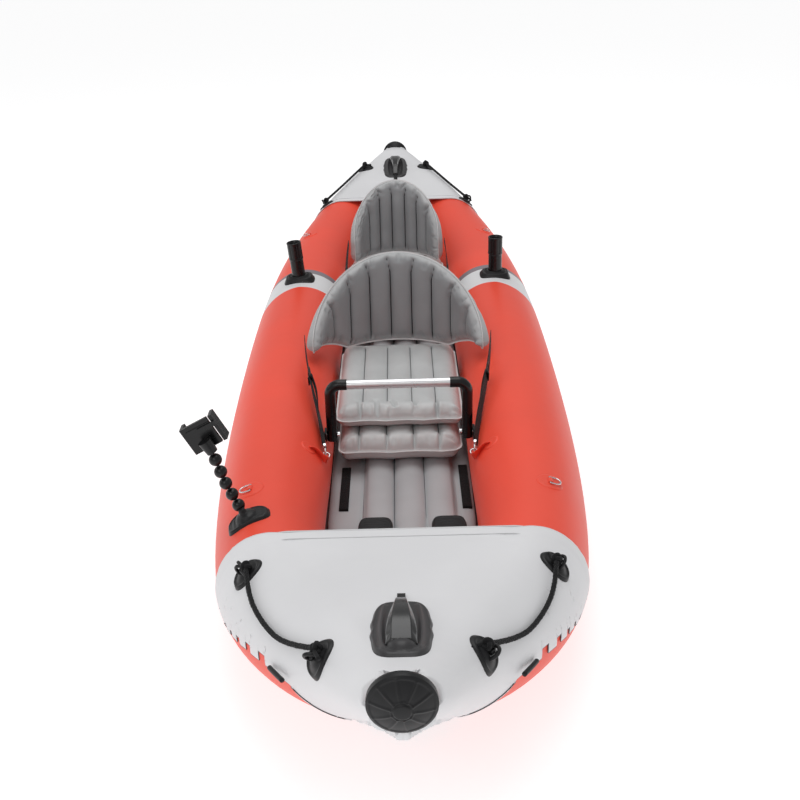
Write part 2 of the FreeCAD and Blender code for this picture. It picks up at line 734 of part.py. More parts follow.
# ---------------------------------------------------------------- build
def main():
    os.makedirs("parts", exist_ok=True)
    right = chamber()
    left = mirrored(right)
    tubes = {1: right, -1: left}
    outer_skin = envelope(DECK_CLEAR + SHEET)
    shell = outer_skin.cut(envelope(DECK_CLEAR))
    save("right_air_chamber", right.cut(rod_bore(1)))
    save("left_air_chamber", left.cut(rod_bore(-1)))
    save("bottom_sheet", bottom_sheet())
    floor = floor_insert()
    save("floor_insert", floor)
    for name, end in (("bow", -1), ("stern", 1)):
        save(name + "_deck_cover", deck_cover(shell, end))
        save(name + "_nose_cap", nose_cap(end))
        save(name + "_handle_base", handle_base(end, outer_skin))
        save(name + "_handle_grip", handle_grip(end, outer_skin))
        save(name + "_grab_patches", *grab_patches(name, outer_skin))
        for side_name, side in (("left", -1), ("right", 1)):
            rope_name = name + "_" + side_name + "_grab_line"
            save(rope_name, rope(rope_name, grab_points(name, side), ROPE_D))
    patches = []
    for name in RING_SPOTS:
        tube = tubes[1 if RING_SPOTS[name][0] > 0 else -1]
        save(name + "_d_ring", d_ring(name, tube))
        patches += d_ring_patch(name, tube)
    save("d_ring_patches", *patches)
    for side_name, side in (("left", -1), ("right", 1)):
        save(side_name + "_rod_socket", rod_socket(side, tubes[side]))
        save(side_name + "_rod_holder", rod_holder(side))
        save(side_name + "_bar_elbow", bar_leg(side))
    save("accessory_bar", accessory_bar())
    save("bar_pivot_bolts", bar_bolt(1), bar_bolt(-1))
    bracket = bar_bracket(right)
    save("bar_brackets", bracket, mirrored(bracket))
    booster = seat_booster()
    pad = seat_pad()
    save("front_seat_booster", booster)
    save("front_seat_pad", pad)
    save("front_backrest", front_backrest())
    booster.translate(V(0, SEAT_SHIFT, 0))
    pad.translate(V(0, SEAT_SHIFT, 0))
    save("rear_seat_booster", booster)
    save("rear_seat_pad", pad)
    save("rear_backrest", rear_backrest())
    save("front_straps", *straps(FRONT_STRAP))
    save("rear_straps", *straps(REAR_STRAP))
    save("strap_buckles", *(buckles(FRONT_STRAP, 0.65) + buckles(REAR_STRAP, 0.4)))
    save("snap_hooks", *(snap_hooks(FRONT_STRAP) + snap_hooks(REAR_STRAP)))
    save("strap_anchors", *(strap_anchor(FRONT_STRAP, right) + strap_anchor(REAR_STRAP, right)))
    save("foot_pads", *foot_pads(floor))
    save("hook_loop_strips", *hook_loop_strips(floor))
    bodies = []
    for side_name, side in (("left", -1), ("right", 1)):
        point, normal = wall_place(tubes[side], side)
        bodies.append(stand_on(valve_body(), point, normal).cut(tubes[side]))
        save(side_name + "_valve_cap", stand_on(valve_cap(), point, normal))
    save("chamber_valves", *bodies)
    spot = (FLOOR_VALVE[0], FLOOR_VALVE[1], FLOOR_TOP - 1)
    save("floor_valve", stand_on(valve_body(), spot, Z_AXIS).cut(floor))
    save("floor_valve_cap", stand_on(valve_cap(), spot, Z_AXIS))
    save("fin_base", fin_base())
    save("phone_mount_plate", phone_plate(left))
    for index in range(len(ARM_CENTRES)):
        save("phone_arm_link_" + str(index + 1), arm_link(index))
    save("phone_clamp_body", clamp_frame(clamp_body()))
    save("phone_clamp_jaw", clamp_frame(clamp_jaw()))


main()
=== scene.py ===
import math
import random

import bpy
import numpy as np
from mathutils import Matrix, Vector, noise
from mathutils.bvhtree import BVHTree


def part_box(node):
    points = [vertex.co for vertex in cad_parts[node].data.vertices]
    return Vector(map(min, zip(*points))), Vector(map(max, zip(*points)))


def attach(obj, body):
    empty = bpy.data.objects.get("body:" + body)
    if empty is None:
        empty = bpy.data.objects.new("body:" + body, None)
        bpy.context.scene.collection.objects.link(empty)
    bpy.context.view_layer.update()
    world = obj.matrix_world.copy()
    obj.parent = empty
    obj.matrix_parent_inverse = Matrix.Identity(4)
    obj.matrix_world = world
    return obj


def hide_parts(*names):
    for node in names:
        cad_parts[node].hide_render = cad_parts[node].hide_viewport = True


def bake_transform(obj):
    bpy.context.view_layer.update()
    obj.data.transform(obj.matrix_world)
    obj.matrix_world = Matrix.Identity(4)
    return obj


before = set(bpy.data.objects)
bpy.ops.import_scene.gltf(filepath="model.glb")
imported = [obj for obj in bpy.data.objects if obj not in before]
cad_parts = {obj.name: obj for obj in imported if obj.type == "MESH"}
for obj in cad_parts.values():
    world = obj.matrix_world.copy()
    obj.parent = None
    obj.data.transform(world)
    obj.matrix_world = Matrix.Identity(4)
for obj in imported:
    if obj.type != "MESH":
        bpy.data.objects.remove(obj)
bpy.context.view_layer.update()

# Two-seat inflatable kayak. Metres, in the CAD frame: bow to -Y, stern to +Y, +Z up.
UP = Vector((0, 0, 1))
ENDS = {"bow": -1, "stern": 1}
SIDES = {"left": -1, "right": 1}

CAMERA_PLACE = (0.016, -3.13, 1.495)
CAMERA_TURN = (25.72, -0.30, -1.63)         # pitch, yaw and roll in degrees
FOCAL_SHARE = 1067.6 / 800                  # focal length over the picture's width
SENSOR = 36.0                               # millimetres
LIGHTS = {                                  # place, aim, size and power
    "top": ((0.0, 0.3, 4.6), (0, 0, 0), (3.0, 4.4), 92),
    "front": ((-1.6, -4.8, 3.4), (0, -0.8, 0.2), (2.6, 1.8), 34),
    "left": ((-4.2, 0.4, 2.2), (0, 0.2, 0.2), (3.6, 1.6), 16),
}
WORLD_LIGHT = 0.46
FLOOR_GLOW = 0.72
FLOOR_HALF = 30.0

# Side chamber stations: distance along the boat, outer half width, half breadth, half height, centre height
TIP = 1.888
BOW = [
    (0.450, 0.463, 0.1410, 0.145, 0.145),
    (0.840, 0.445, 0.1330, 0.144, 0.147),
    (1.100, 0.420, 0.1235, 0.141, 0.154),
    (1.300, 0.384, 0.1275, 0.139, 0.167),
    (1.450, 0.327, 0.1370, 0.128, 0.192),
    (1.580, 0.243, 0.1340, 0.118, 0.224),
    (1.690, 0.163, 0.1060, 0.092, 0.274),
    (1.790, 0.102, 0.0760, 0.062, 0.332),
    (TIP, 0.048, 0.0410, 0.030, 0.391),
]
MIDDLE = (0.0, 0.470, 0.1425, 0.145, 0.145)
STERN = [
    (0.450, 0.462, 0.1410, 0.145, 0.145),
    (0.840, 0.430, 0.1280, 0.144, 0.147),
    (1.100, 0.391, 0.1240, 0.141, 0.154),
    (1.300, 0.348, 0.1280, 0.137, 0.169),
    (1.450, 0.305, 0.1340, 0.131, 0.189),
    (1.580, 0.250, 0.1300, 0.121, 0.221),
    (1.690, 0.186, 0.1080, 0.091, 0.269),
    (1.790, 0.118, 0.0800, 0.061, 0.315),
    (TIP, 0.054, 0.0440, 0.028, 0.357),
]
STATIONS = np.array([(-y, *sizes) for y, *sizes in reversed(BOW)] + [MIDDLE] + STERN)
SLEEVE_X, SLEEVE_Y, SLEEVE_R = 0.335, 0.350, 0.034      # hole in a chamber for the rod holder

# Deck covers
SKIN = 0.0035               # outer face above the side chambers
DECK_EDGE = 1.275           # cockpit edge
HEM = 0.030                 # depth of the folded hem at the cockpit edge
EDGE_LINE = [(1.275, 0.150), (1.400, 0.168), (1.500, 0.192), (1.600, 0.211), (1.640, 0.212)]
WRAP = (1.640, 1.700)       # the cover closes under the nose between these
NOTCHES = [                 # cut in the lower edge: middle along the boat, width, depth
    (1.386, 0.008, 0.007), (1.422, 0.011, 0.010), (1.460, 0.014, 0.014), (1.505, 0.019, 0.018),
    (1.558, 0.024, 0.023),
]
SLOT_Y, SLOT_Z, SLOT_LENGTH = 1.622, 0.232, 0.050

# Seats: the backrests lean back about a pivot line behind the cushions
SEAT_SHIFT = 0.860
PIVOT_Y, PIVOT_Z = -0.060, 0.232
LEAN = math.radians(12.0)
CUSHION_INSET = 0.003
FABRIC_HALF = 0.0007
RIM = 0.006
FLOOR_LINES = (-0.098, -0.018, 0.062, 0.142)
FLOOR_HALVES = ((-1.12, 0.168), (-0.84, 0.188), (0, 0.194), (0.84, 0.182), (1.12, 0.148))

# Rope routes on the right side, from loop to loop
GRAB_ROUTE = {
    "bow": [(0.303, -1.392, 0.3099), (0.293, -1.463, 0.2928), (0.256, -1.546, 0.2847),
            (0.206, -1.625, 0.2960), (0.141, -1.703, 0.3518)],
    "stern": [(0.296, 1.300, 0.3047), (0.266, 1.385, 0.3120), (0.226, 1.478, 0.3266),
              (0.181, 1.566, 0.3488), (0.134, 1.652, 0.3720)],
}
ROPE_D = 0.0095

# Strap routes on the right side, from the backrest's wing to the hook
FRONT_STRAP = [(0.265, -0.314, 0.342), (0.222, -0.600, 0.285), (0.190, -0.760, 0.228)]
REAR_STRAP = [(0.1745, 0.628, 0.326), (0.176, 0.098, 0.206)]

ROUGH_SPREAD = 0.08
STRETCH = {"creases_x": (0.22, 1.0, 1.0), "creases_y": (1.0, 0.25, 1.0), "creases_z": (1.0, 1.0, 0.3)}


# ---------------------------------------------------------------- camera, light and floor
def make_camera():
    pitch, yaw, roll = (math.radians(angle) for angle in CAMERA_TURN)
    ahead = Vector((math.sin(yaw) * math.cos(pitch), math.cos(yaw) * math.cos(pitch), -math.sin(pitch)))
    level = Vector((math.cos(yaw), -math.sin(yaw), 0))
    above = level.cross(ahead)
    right = math.cos(roll) * level + math.sin(roll) * above
    up = -math.sin(roll) * level + math.cos(roll) * above
    data = bpy.data.cameras.new("camera")
    data.sensor_width = SENSOR
    data.lens = SENSOR * FOCAL_SHARE
    data.clip_start = 0.05
    data.clip_end = 100
    camera = bpy.data.objects.new("camera", data)
    turn = Matrix((right, up, -ahead)).transposed().to_4x4()
    camera.matrix_world = Matrix.Translation(CAMERA_PLACE) @ turn
    bpy.context.scene.collection.objects.link(camera)
    bpy.context.scene.camera = camera


def area_light(name, place, aim, size, power):
    data = bpy.data.lights.new(name, "AREA")
    data.shape = "RECTANGLE"
    data.size, data.size_y = size
    data.energy = power
    light = bpy.data.objects.new(name, data)
    light.location = place
    light.rotation_mode = "QUATERNION"
    light.rotation_quaternion = (Vector(aim) - Vector(place)).to_track_quat("-Z", "Y")
    bpy.context.scene.collection.objects.link(light)


def make_stage():
    scene = bpy.context.scene
    scene.view_settings.view_transform = "Standard"
    scene.view_settings.look = "None"
    world = bpy.data.worlds.new("studio")
    world.use_nodes = True
    sky = world.node_tree.nodes["Background"].inputs
    sky["Color"].default_value = (1, 1, 1, 1)
    sky["Strength"].default_value = WORLD_LIGHT
    scene.world = world
    for name, settings in LIGHTS.items():
        area_light(name, *settings)
    finish = material("floor", (0.50, 0.50, 0.505), 0.9, bumps=[("noise", 180, 0.05, 0.001)], variation=0.01)
    shader = finish.node_tree.nodes["Principled BSDF"].inputs
    shader["Emission Color"].default_value = (1, 1, 1, 1)
    shader["Emission Strength"].default_value = FLOOR_GLOW
    corners = [(x * FLOOR_HALF, y * FLOOR_HALF, -0.001) for x, y in ((-1, -1), (1, -1), (1, 1), (-1, 1))]
    mesh_object("floor", (corners, [(0, 1, 2, 3)]), finish)


# ---------------------------------------------------------------- materials
def new_node(tree, kind, inputs=None, **settings):
    """Node with its settings; each input is a value or the output that is linked to it."""
    node = tree.nodes.new(kind)
    for key, value in settings.items():
        setattr(node, key, value)
    for key, value in (inputs or {}).items():
        if isinstance(value, bpy.types.NodeSocket):
            tree.links.new(value, node.inputs[key])
        else:
            node.inputs[key].default_value = value
    return node


def material(name, color, rough, metallic=0.0, coat=0.0, sheen=0.0, gloss=0.5, bumps=(), variation=0.06,
             grain=30.0, painted=()):
    """Procedural material.

    bumps are (texture, scale, strength, height), painted (attribute, low, high, colour)."""
    made = bpy.data.materials.new(name)
    made.use_nodes = True
    tree = made.node_tree
    shader = tree.nodes["Principled BSDF"].inputs
    for socket, value in (("Metallic", metallic), ("Specular IOR Level", gloss), ("Coat Weight", coat),
                          ("Coat Roughness", 0.25), ("Sheen Weight", sheen), ("Sheen Roughness", 0.5)):
        shader[socket].default_value = value
    place = new_node(tree, "ShaderNodeTexCoord").outputs["Object"]
    cloud = new_node(tree, "ShaderNodeTexNoise", {"Scale": grain, "Detail": 5, "Vector": place}).outputs["Fac"]
    ramp = new_node(tree, "ShaderNodeValToRGB", {"Fac": cloud})
    for element, position, change in zip(ramp.color_ramp.elements, (0.35, 0.65), (-variation, variation)):
        element.position = position
        element.color = (*(min(1.0, c * (1 + change)) for c in color), 1)
    tint = ramp.outputs["Color"]
    for attribute, low, high, paint in painted:
        source = new_node(tree, "ShaderNodeAttribute", attribute_name=attribute).outputs["Fac"]
        span = new_node(tree, "ShaderNodeMapRange", {"From Min": low, "From Max": high, "Value": source},
                        interpolation_type="SMOOTHSTEP").outputs["Result"]
        tint = new_node(tree, "ShaderNodeMix", {"B": (*paint, 1), "Factor": span, "A": tint},
                        data_type="RGBA").outputs["Result"]
    tree.links.new(tint, shader["Base Color"])
    smoothest, roughest = max(0.02, rough - ROUGH_SPREAD), min(1.0, rough + ROUGH_SPREAD)
    spread = {"Value": cloud, "To Min": smoothest, "To Max": roughest}
    tree.links.new(new_node(tree, "ShaderNodeMapRange", spread).outputs["Result"], shader["Roughness"])
    normal = None
    for kind, scale, strength, height in bumps:
        relief = {"Strength": strength, "Distance": height, "Height": bump_field(tree, place, kind, scale)}
        if normal is not None:
            relief["Normal"] = normal
        normal = new_node(tree, "ShaderNodeBump", relief).outputs["Normal"]
    if normal is not None:
        tree.links.new(normal, shader["Normal"])
    return made


def bump_field(tree, place, kind, scale):
    """Height field of one kind of surface detail: scale is in features per metre."""
    if kind == "weave":
        total = None
        for direction in ("X", "Y", "Z"):
            wave = new_node(tree, "ShaderNodeTexWave", {"Scale": scale / 20.0, "Vector": place},
                            bands_direction=direction).outputs["Fac"]
            if total is None:
                total = wave
            else:
                total = new_node(tree, "ShaderNodeMath", {0: total, 1: wave}, operation="ADD").outputs[0]
        return total
    stretch = {"Scale": STRETCH.get(kind, (1.0, 1.0, 1.0)), "Vector": place}
    where = new_node(tree, "ShaderNodeMapping", stretch).outputs["Vector"]
    if kind == "crumple":
        cells = new_node(tree, "ShaderNodeTexVoronoi", {"Scale": scale, "Vector": where}, feature="SMOOTH_F1")
        return cells.outputs["Distance"]
    distortion = 0.6 if kind in STRETCH else 0.0
    return new_node(tree, "ShaderNodeTexNoise", {"Scale": scale, "Detail": 4, "Distortion": distortion,
                                                 "Vector": where}).outputs["Fac"]


def make_finishes():
    """Every finish by its short name."""
    red = {"color": (0.87, 0.082, 0.045), "rough": 0.44, "gloss": 0.35}
    skin = ("noise", 1500, 0.05, 0.0003)
    deck_skin = ("noise", 1300, 0.06, 0.0003)
    fine = ("noise", 900, 0.06, 0.0003)
    weave = ("weave", 1500, 0.06, 0.0003)
    grained = ("noise", 700, 0.10, 0.0005)
    blur = (-0.08, 0.08)        # of the edge of a painted mark, in centimetres
    table = {
        "red_plain": dict(name="red_patch", **red, bumps=[skin], variation=0.03, grain=6.0),
        "red": dict(name="red_pvc", **red, variation=0.035, grain=3.0,
                    bumps=[skin, ("creases_y", 9, 0.10, 0.006)],
                    painted=[("band", *blur, (0.72, 0.72, 0.73)), ("stripe", *blur, (0.23, 0.20, 0.22)),
                             ("patch", *blur, (0.21, 0.18, 0.20))]),
        "hem": dict(name="hem_fabric", color=(0.64, 0.64, 0.65), rough=0.5, bumps=[deck_skin], variation=0.025,
                    grain=9.0),
        "deck": dict(name="deck_fabric", color=(0.74, 0.74, 0.755), rough=0.5, variation=0.025, grain=4.0,
                     bumps=[deck_skin, ("creases_x", 8, 0.10, 0.005)],
                     # the edge entry paints a thin dark band, 1.0 to 1.6 mm wide, along the cover's lower cut
                     # edge and round the notches: painted shade under the cut edge
                     painted=[("edge", 0.16, 0.10, (0.10, 0.08, 0.09))]),
        "pad": dict(name="seat_fabric", color=(0.53, 0.54, 0.54), rough=0.40, sheen=0.08, variation=0.05,
                    grain=12, bumps=[weave, ("creases_y", 26, 0.16, 0.004), ("crumple", 55, 0.05, 0.003)],
                    # weld paints dark shade into the grooves along the weld lines; rim lightens the welded
                    # flange
                    painted=[("weld", 1.6, 0.5, (0.16, 0.16, 0.165)), ("rim", 4.6, 3.4, (0.66, 0.66, 0.66))]),
        "back": dict(name="back_fabric", color=(0.235, 0.24, 0.247), rough=0.38, sheen=0.1, variation=0.06,
                     grain=10, bumps=[weave, ("creases_z", 24, 0.18, 0.004), ("crumple", 50, 0.05, 0.003)],
                     # weld paints near-black shade into the grooves along the weld lines
                     painted=[("weld", 2.0, 0.7, (0.012, 0.012, 0.013)),
                              # the first rim entry lightens the cloth from 26 mm inside the rim to full at 4
                              # mm, so the middle of the backrest stays darker: partly the fabric's own darker
                              # tone, partly painted shade
                              ("rim", 26.0, 4.0, (0.40, 0.405, 0.41)), ("rim", 4.8, 3.6, (0.72, 0.72, 0.72))]),
        "floor": dict(name="floor_fabric", color=(0.44, 0.45, 0.46), rough=0.45, variation=0.04, grain=8,
                      bumps=[("weave", 1500, 0.05, 0.0003), ("creases_y", 14, 0.12, 0.004)],
                      # weld paints dark shade into the grooves between the floor's tubes
                      painted=[("weld", 1.5, 0.4, (0.10, 0.09, 0.10))]),
        "bottom": dict(name="bottom_fabric", color=(0.21, 0.21, 0.22), rough=0.55, grain=5,
                       bumps=[("weave", 1200, 0.08, 0.0004)]),
        "rubber": dict(name="black_rubber", color=(0.010, 0.010, 0.011), rough=0.42, gloss=0.30, grain=20,
                       bumps=[grained], variation=0.2),
        "rubber_soft": dict(name="moulded_rubber", color=(0.040, 0.039, 0.041), rough=0.40, gloss=0.35,
                            grain=18, bumps=[grained], variation=0.15),
        "rubber_gloss": dict(name="grip_rubber", color=(0.014, 0.014, 0.015), rough=0.24, coat=0.35, gloss=0.4,
                             bumps=[("noise", 500, 0.05, 0.0004)], grain=22, variation=0.15),
        "plastic": dict(name="black_plastic", color=(0.006, 0.006, 0.0065), rough=0.28, coat=0.1, gloss=0.30,
                        bumps=[fine], grain=25, variation=0.2),
        "rope": dict(name="rope_black", color=(0.009, 0.009, 0.010), rough=0.75, sheen=0.1, gloss=0.2,
                     bumps=[("noise", 1600, 0.3, 0.0005)], grain=60, variation=0.3),
        "webbing": dict(name="webbing_black", color=(0.008, 0.0075, 0.0085), rough=0.62, sheen=0.08, gloss=0.2,
                        bumps=[("weave", 5200, 0.35, 0.0005)], grain=60, variation=0.25),
        "pile": dict(name="hook_loop", color=(0.005, 0.005, 0.0055), rough=0.85, sheen=0.1, gloss=0.15,
                     bumps=[("noise", 2200, 0.6, 0.0012)], grain=160, variation=0.4),
        "aluminium": dict(name="aluminium", color=(0.80, 0.80, 0.81), rough=0.30, metallic=0.75,
                          bumps=[("noise", 1400, 0.03, 0.0002)], grain=30, variation=0.02),
        "steel": dict(name="steel", color=(0.70, 0.70, 0.71), rough=0.20, metallic=1.0,
                      bumps=[("noise", 900, 0.03, 0.0002)], grain=40, variation=0.05),
        "valve": dict(name="valve_grey", color=(0.22, 0.22, 0.23), rough=0.4, bumps=[fine], grain=25),
    }
    return {key: material(**settings) for key, settings in table.items()}


# ---------------------------------------------------------------- numbers
def rise(low, high, value):
    """0 below low, 1 above high and smooth between them."""
    t = min(max((value - low) / (high - low), 0.0), 1.0)
    return t * t * (3 - 2 * t)


def fall(low, high, value):
    return 1 - rise(low, high, value)


def ridge(distance, width):
    """1 at no distance, fading away over the width."""
    return math.exp(-(distance / width) ** 2)


def bulge(distance, radius):
    """Quarter circle: 0 at no distance, 1 from the radius on."""
    share = np.clip(distance / radius, 0, 1)
    return np.sqrt(np.maximum(0.0, 1 - (1 - share) ** 2))


def spline_through(knots, values, at):
    """Natural cubic spline."""
    knots = np.asarray(knots, float)
    values = np.asarray(values, float)
    count = len(knots)
    h = np.diff(knots)
    system = np.eye(count)
    right = np.zeros(count)
    for i in range(1, count - 1):
        system[i, i - 1] = h[i - 1]
        system[i, i] = 2 * (h[i - 1] + h[i])
        system[i, i + 1] = h[i]
        right[i] = 3 * ((values[i + 1] - values[i]) / h[i] - (values[i] - values[i - 1]) / h[i - 1])
    bend = np.linalg.solve(system, right)
    index = np.clip(np.searchsorted(knots, at) - 1, 0, count - 2)
    t = at - knots[index]
    slope = (values[index + 1] - values[index]) / h[index] - h[index] * (2 * bend[index] + bend[index + 1]) / 3
    cube = (bend[index + 1] - bend[index]) / (3 * h[index])
    return values[index] + slope * t + bend[index] * t ** 2 + cube * t ** 3


def smoothed(points, count=6):
    """Points on a smooth line through the given ones."""
    line = np.array([tuple(p) for p in points])
    knots = np.concatenate([[0], np.cumsum(np.linalg.norm(np.diff(line, axis=0), axis=1))])
    at = np.linspace(0, knots[-1], count * (len(line) - 1) + 1)
    return [Vector(p) for p in np.stack([spline_through(knots, line[:, k], at) for k in range(3)], 1)]


def closer_near(stops, step):
    """Numbers from the first stop to the last, closer together near each stop."""
    out = [stops[0]]
    for a, b in zip(stops[:-1], stops[1:]):
        count = max(4, round((b - a) / step))
        out += [a + (b - a) * (1 - math.cos(math.pi * i / count)) / 2 for i in range(1, count + 1)]
    return np.array(out)


def distance_to(px, py, segments):
    """Distance of each flat point from the nearest segment."""
    nearest = np.full(px.shape, 9.0)
    for x0, y0, x1, y1 in segments:
        dx, dy = x1 - x0, y1 - y0
        t = np.clip(((px - x0) * dx + (py - y0) * dy) / max(dx * dx + dy * dy, 1e-12), 0, 1)
        nearest = np.minimum(nearest, np.hypot(px - x0 - t * dx, py - y0 - t * dy))
    return nearest


def smooth_noise(points, scale, seed=0.0):
    """Gentle noise from -1 to 1 at each point; scale is in metres."""
    return np.array([noise.noise(Vector((p[0] / scale + seed, p[1] / scale - seed, p[2] / scale + 2 * seed)))
                     for p in np.asarray(points).reshape(-1, 3)])


# ---------------------------------------------------------------- mesh helpers
def mesh_object(name, shape, finish, smooth=True, values=None):
    """Object of a shape, which is (points, faces); values are point attributes."""
    points, faces = shape
    mesh = bpy.data.meshes.new(name)
    mesh.from_pydata([tuple(p) for p in points], [], [tuple(f) for f in faces])
    mesh.update()
    mesh.polygons.foreach_set("use_smooth", [smooth] * len(mesh.polygons))
    for key, numbers in (values or {}).items():
        layer = mesh.attributes.new(key, "FLOAT", "POINT")
        layer.data.foreach_set("value", np.asarray(numbers, np.float32).ravel())
    mesh.materials.append(finish)
    made = bpy.data.objects.new(name, mesh)
    bpy.context.scene.collection.objects.link(made)
    return made


def add_piece(name, shape, finish, slot, body="hull", replaces=(), smooth=True, values=None):
    made = mesh_object(name, shape, finish, smooth, values)
    if body:
        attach(made, body)
    if replaces:
        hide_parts(*replaces)
    return made


def joined(parts):
    """One shape out of several."""
    points, faces = [], []
    for more_points, more_faces in parts:
        start = len(points)
        points += [Vector(p) for p in more_points]
        faces += [tuple(start + i for i in f) for f in more_faces]
    return points, faces


def grid_faces(rows, columns, start=0, close_rows=False, close_columns=False, flip=False):
    faces = []
    for i in range(rows if close_rows else rows - 1):
        for j in range(columns if close_columns else columns - 1):
            a = start + i * columns + j
            b = start + i * columns + (j + 1) % columns
            c = start + ((i + 1) % rows) * columns + (j + 1) % columns
            d = start + ((i + 1) % rows) * columns + j
            faces.append((a, d, c, b) if flip else (a, b, c, d))
    return faces


def pipe_faces(rows, turns):
    """Faces of rings in a row, closed at both ends."""
    faces = grid_faces(rows, turns, close_columns=True)
    return faces + [tuple(range(turns))[::-1], tuple((rows - 1) * turns + k for k in range(turns))]


def grid_rim(rows, columns):
    """Indices round the edge of a grid."""
    last = (rows - 1) * columns
    there = list(range(columns)) + [i * columns + columns - 1 for i in range(1, rows)]
    back = [last + j for j in range(columns - 2, -1, -1)] + [i * columns for i in range(rows - 2, 0, -1)]
    return there + back


def slab_faces(rows, columns, flip_wall=False):
    """Faces of two grids, the second below the first, and of the wall round them."""
    count = rows * columns
    rim = grid_rim(rows, columns)
    faces = grid_faces(rows, columns) + grid_faces(rows, columns, start=count, flip=True)
    for p, q in zip(rim, rim[1:] + rim[:1]):
        faces.append((q, q + count, p + count, p) if flip_wall else (p, p + count, q + count, q))
    return faces


def tube_mesh(points, radius, sides=8, closed=False, squash=1.0):
    """Round tube along a line of points."""
    line = [Vector(p) for p in points]
    count = len(line)
    out = []
    side = None
    for i in range(count):
        before = line[i - 1] if i or closed else line[i]
        after = line[(i + 1) % count] if i < count - 1 or closed else line[i]
        ahead = (after - before).normalized()
        if side is None:
            side = ahead.orthogonal().normalized()
        side = (side - ahead * side.dot(ahead)).normalized()
        up = ahead.cross(side)
        for k in range(sides):
            angle = 2 * math.pi * k / sides
            out.append(line[i] + side * math.cos(angle) * radius + up * math.sin(angle) * radius * squash)
    if closed:
        return out, grid_faces(count, sides, close_rows=True, close_columns=True)
    return out, pipe_faces(count, sides)


# ---------------------------------------------------------------- surfaces that other pieces lie on
def surface(*meshes):
    points, faces = [], []
    for mesh in meshes:
        start = len(points)
        points += [v.co.copy() for v in mesh.vertices]
        faces += [tuple(start + i for i in p.vertices) for p in mesh.polygons]
    return BVHTree.FromPolygons(points, faces)


def cad_surface(*nodes):
    return surface(*(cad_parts[node].data for node in nodes))


def drop_on(tree, x, y):
    """Point of a surface under (x, y) and its upward normal."""
    place, normal, _, _ = tree.ray_cast(Vector((x, y, 1.0)), -UP)
    return place, (normal if normal.z > 0 else -normal)


def smooth_normal(tree, x, y, step=0.008):
    heights = [drop_on(tree, x + dx, y + dy)[0].z for dx, dy in ((step, 0), (-step, 0), (0, step), (0, -step))]
    return Vector((heights[1] - heights[0], heights[3] - heights[2], 2 * step)).normalized()


# ---------------------------------------------------------------- side chambers and bottom
def section_at(y):
    """Outer half width, half breadth, half height and centre height of a chamber at y, or at each y."""
    return [spline_through(STATIONS[:, 0], STATIONS[:, k], y) for k in range(1, 5)]


def chamber(side_name, finish):
    side = SIDES[side_name]
    tip_rows = np.linspace(1.2, TIP, 90)
    rows = np.concatenate([-tip_rows[::-1], np.linspace(-1.19, 1.19, 200), tip_rows])
    turns = 96
    tree = cad_surface(side_name + "_air_chamber")
    points = []
    for y, half_width, breadth, tall, height in zip(rows, *section_at(rows)):
        ring = []
        for k in range(turns):
            angle = 2 * math.pi * k / turns
            x = max(0.0006, half_width - breadth + breadth * math.cos(angle))
            p = Vector((side * x, y, height + tall * math.sin(angle)))
            found = tree.find_nearest(p, 0.012)[0]
            ring.append(p if found is None else found)
        # the tube draws in a little where the deck cover closes round the nose
        tuck = 0.08 * rise(1.71, 1.79, abs(y))
        centre = sum(ring, Vector()) / turns
        points += [p.lerp(centre, tuck) for p in ring]
    sleeve = Vector((side * SLEEVE_X, SLEEVE_Y))
    faces = []
    for face in grid_faces(len(rows), turns, close_columns=True, flip=side > 0):
        middle = sum((points[i] for i in face), Vector()) / len(face)
        if middle.z < 0.15 or (middle.xy - sleeve).length > SLEEVE_R:
            faces.append(face)
    for row in (0, len(rows) - 1):
        ring = tuple(row * turns + k for k in range(turns))
        faces.append(ring if (row == 0) == (side > 0) else ring[::-1])
    x, y, z = np.array(points).T
    x = np.abs(x)
    outboard = np.clip((x - SLEEVE_X) / 0.13, 0, 1)
    marks = {   # metres inside the edge of each painted mark
        "band": np.minimum(y - (0.268 - 0.055 * outboard), 0.408 - y),
        "stripe": np.minimum(y - 0.408, 0.446 - 0.02 * outboard - y),
        "patch": np.minimum.reduce([y + 0.46, -0.24 - y, x - 0.452, z - 0.10, 0.185 - z]),
    }
    values = {name: inside * 100 for name, inside in marks.items()}
    add_piece(side_name + "_chamber", (points, faces), finish, "red_pvc", replaces=[side_name + "_air_chamber"],
              values=values)


def bottom(finish):
    """Coated sheet under the boat, from nose to nose."""
    rows = np.linspace(-1.58, 1.58, 120)
    across = np.linspace(-1, 1, 25)
    half_width, breadth, tall, height = section_at(rows)
    halves = np.maximum(0.005, half_width - breadth - 0.062)
    points = [(half * u, y, low + layer) for layer in (0.0004, 0.0022)
              for y, half, low in zip(rows, halves, height - tall) for u in across]
    count = len(rows) * len(across)
    faces = grid_faces(len(rows), len(across)) + grid_faces(len(rows), len(across), start=count, flip=True)
    made = add_piece("bottom_fabric", (points, faces), finish, "bottom_grey", replaces=["bottom_sheet"])


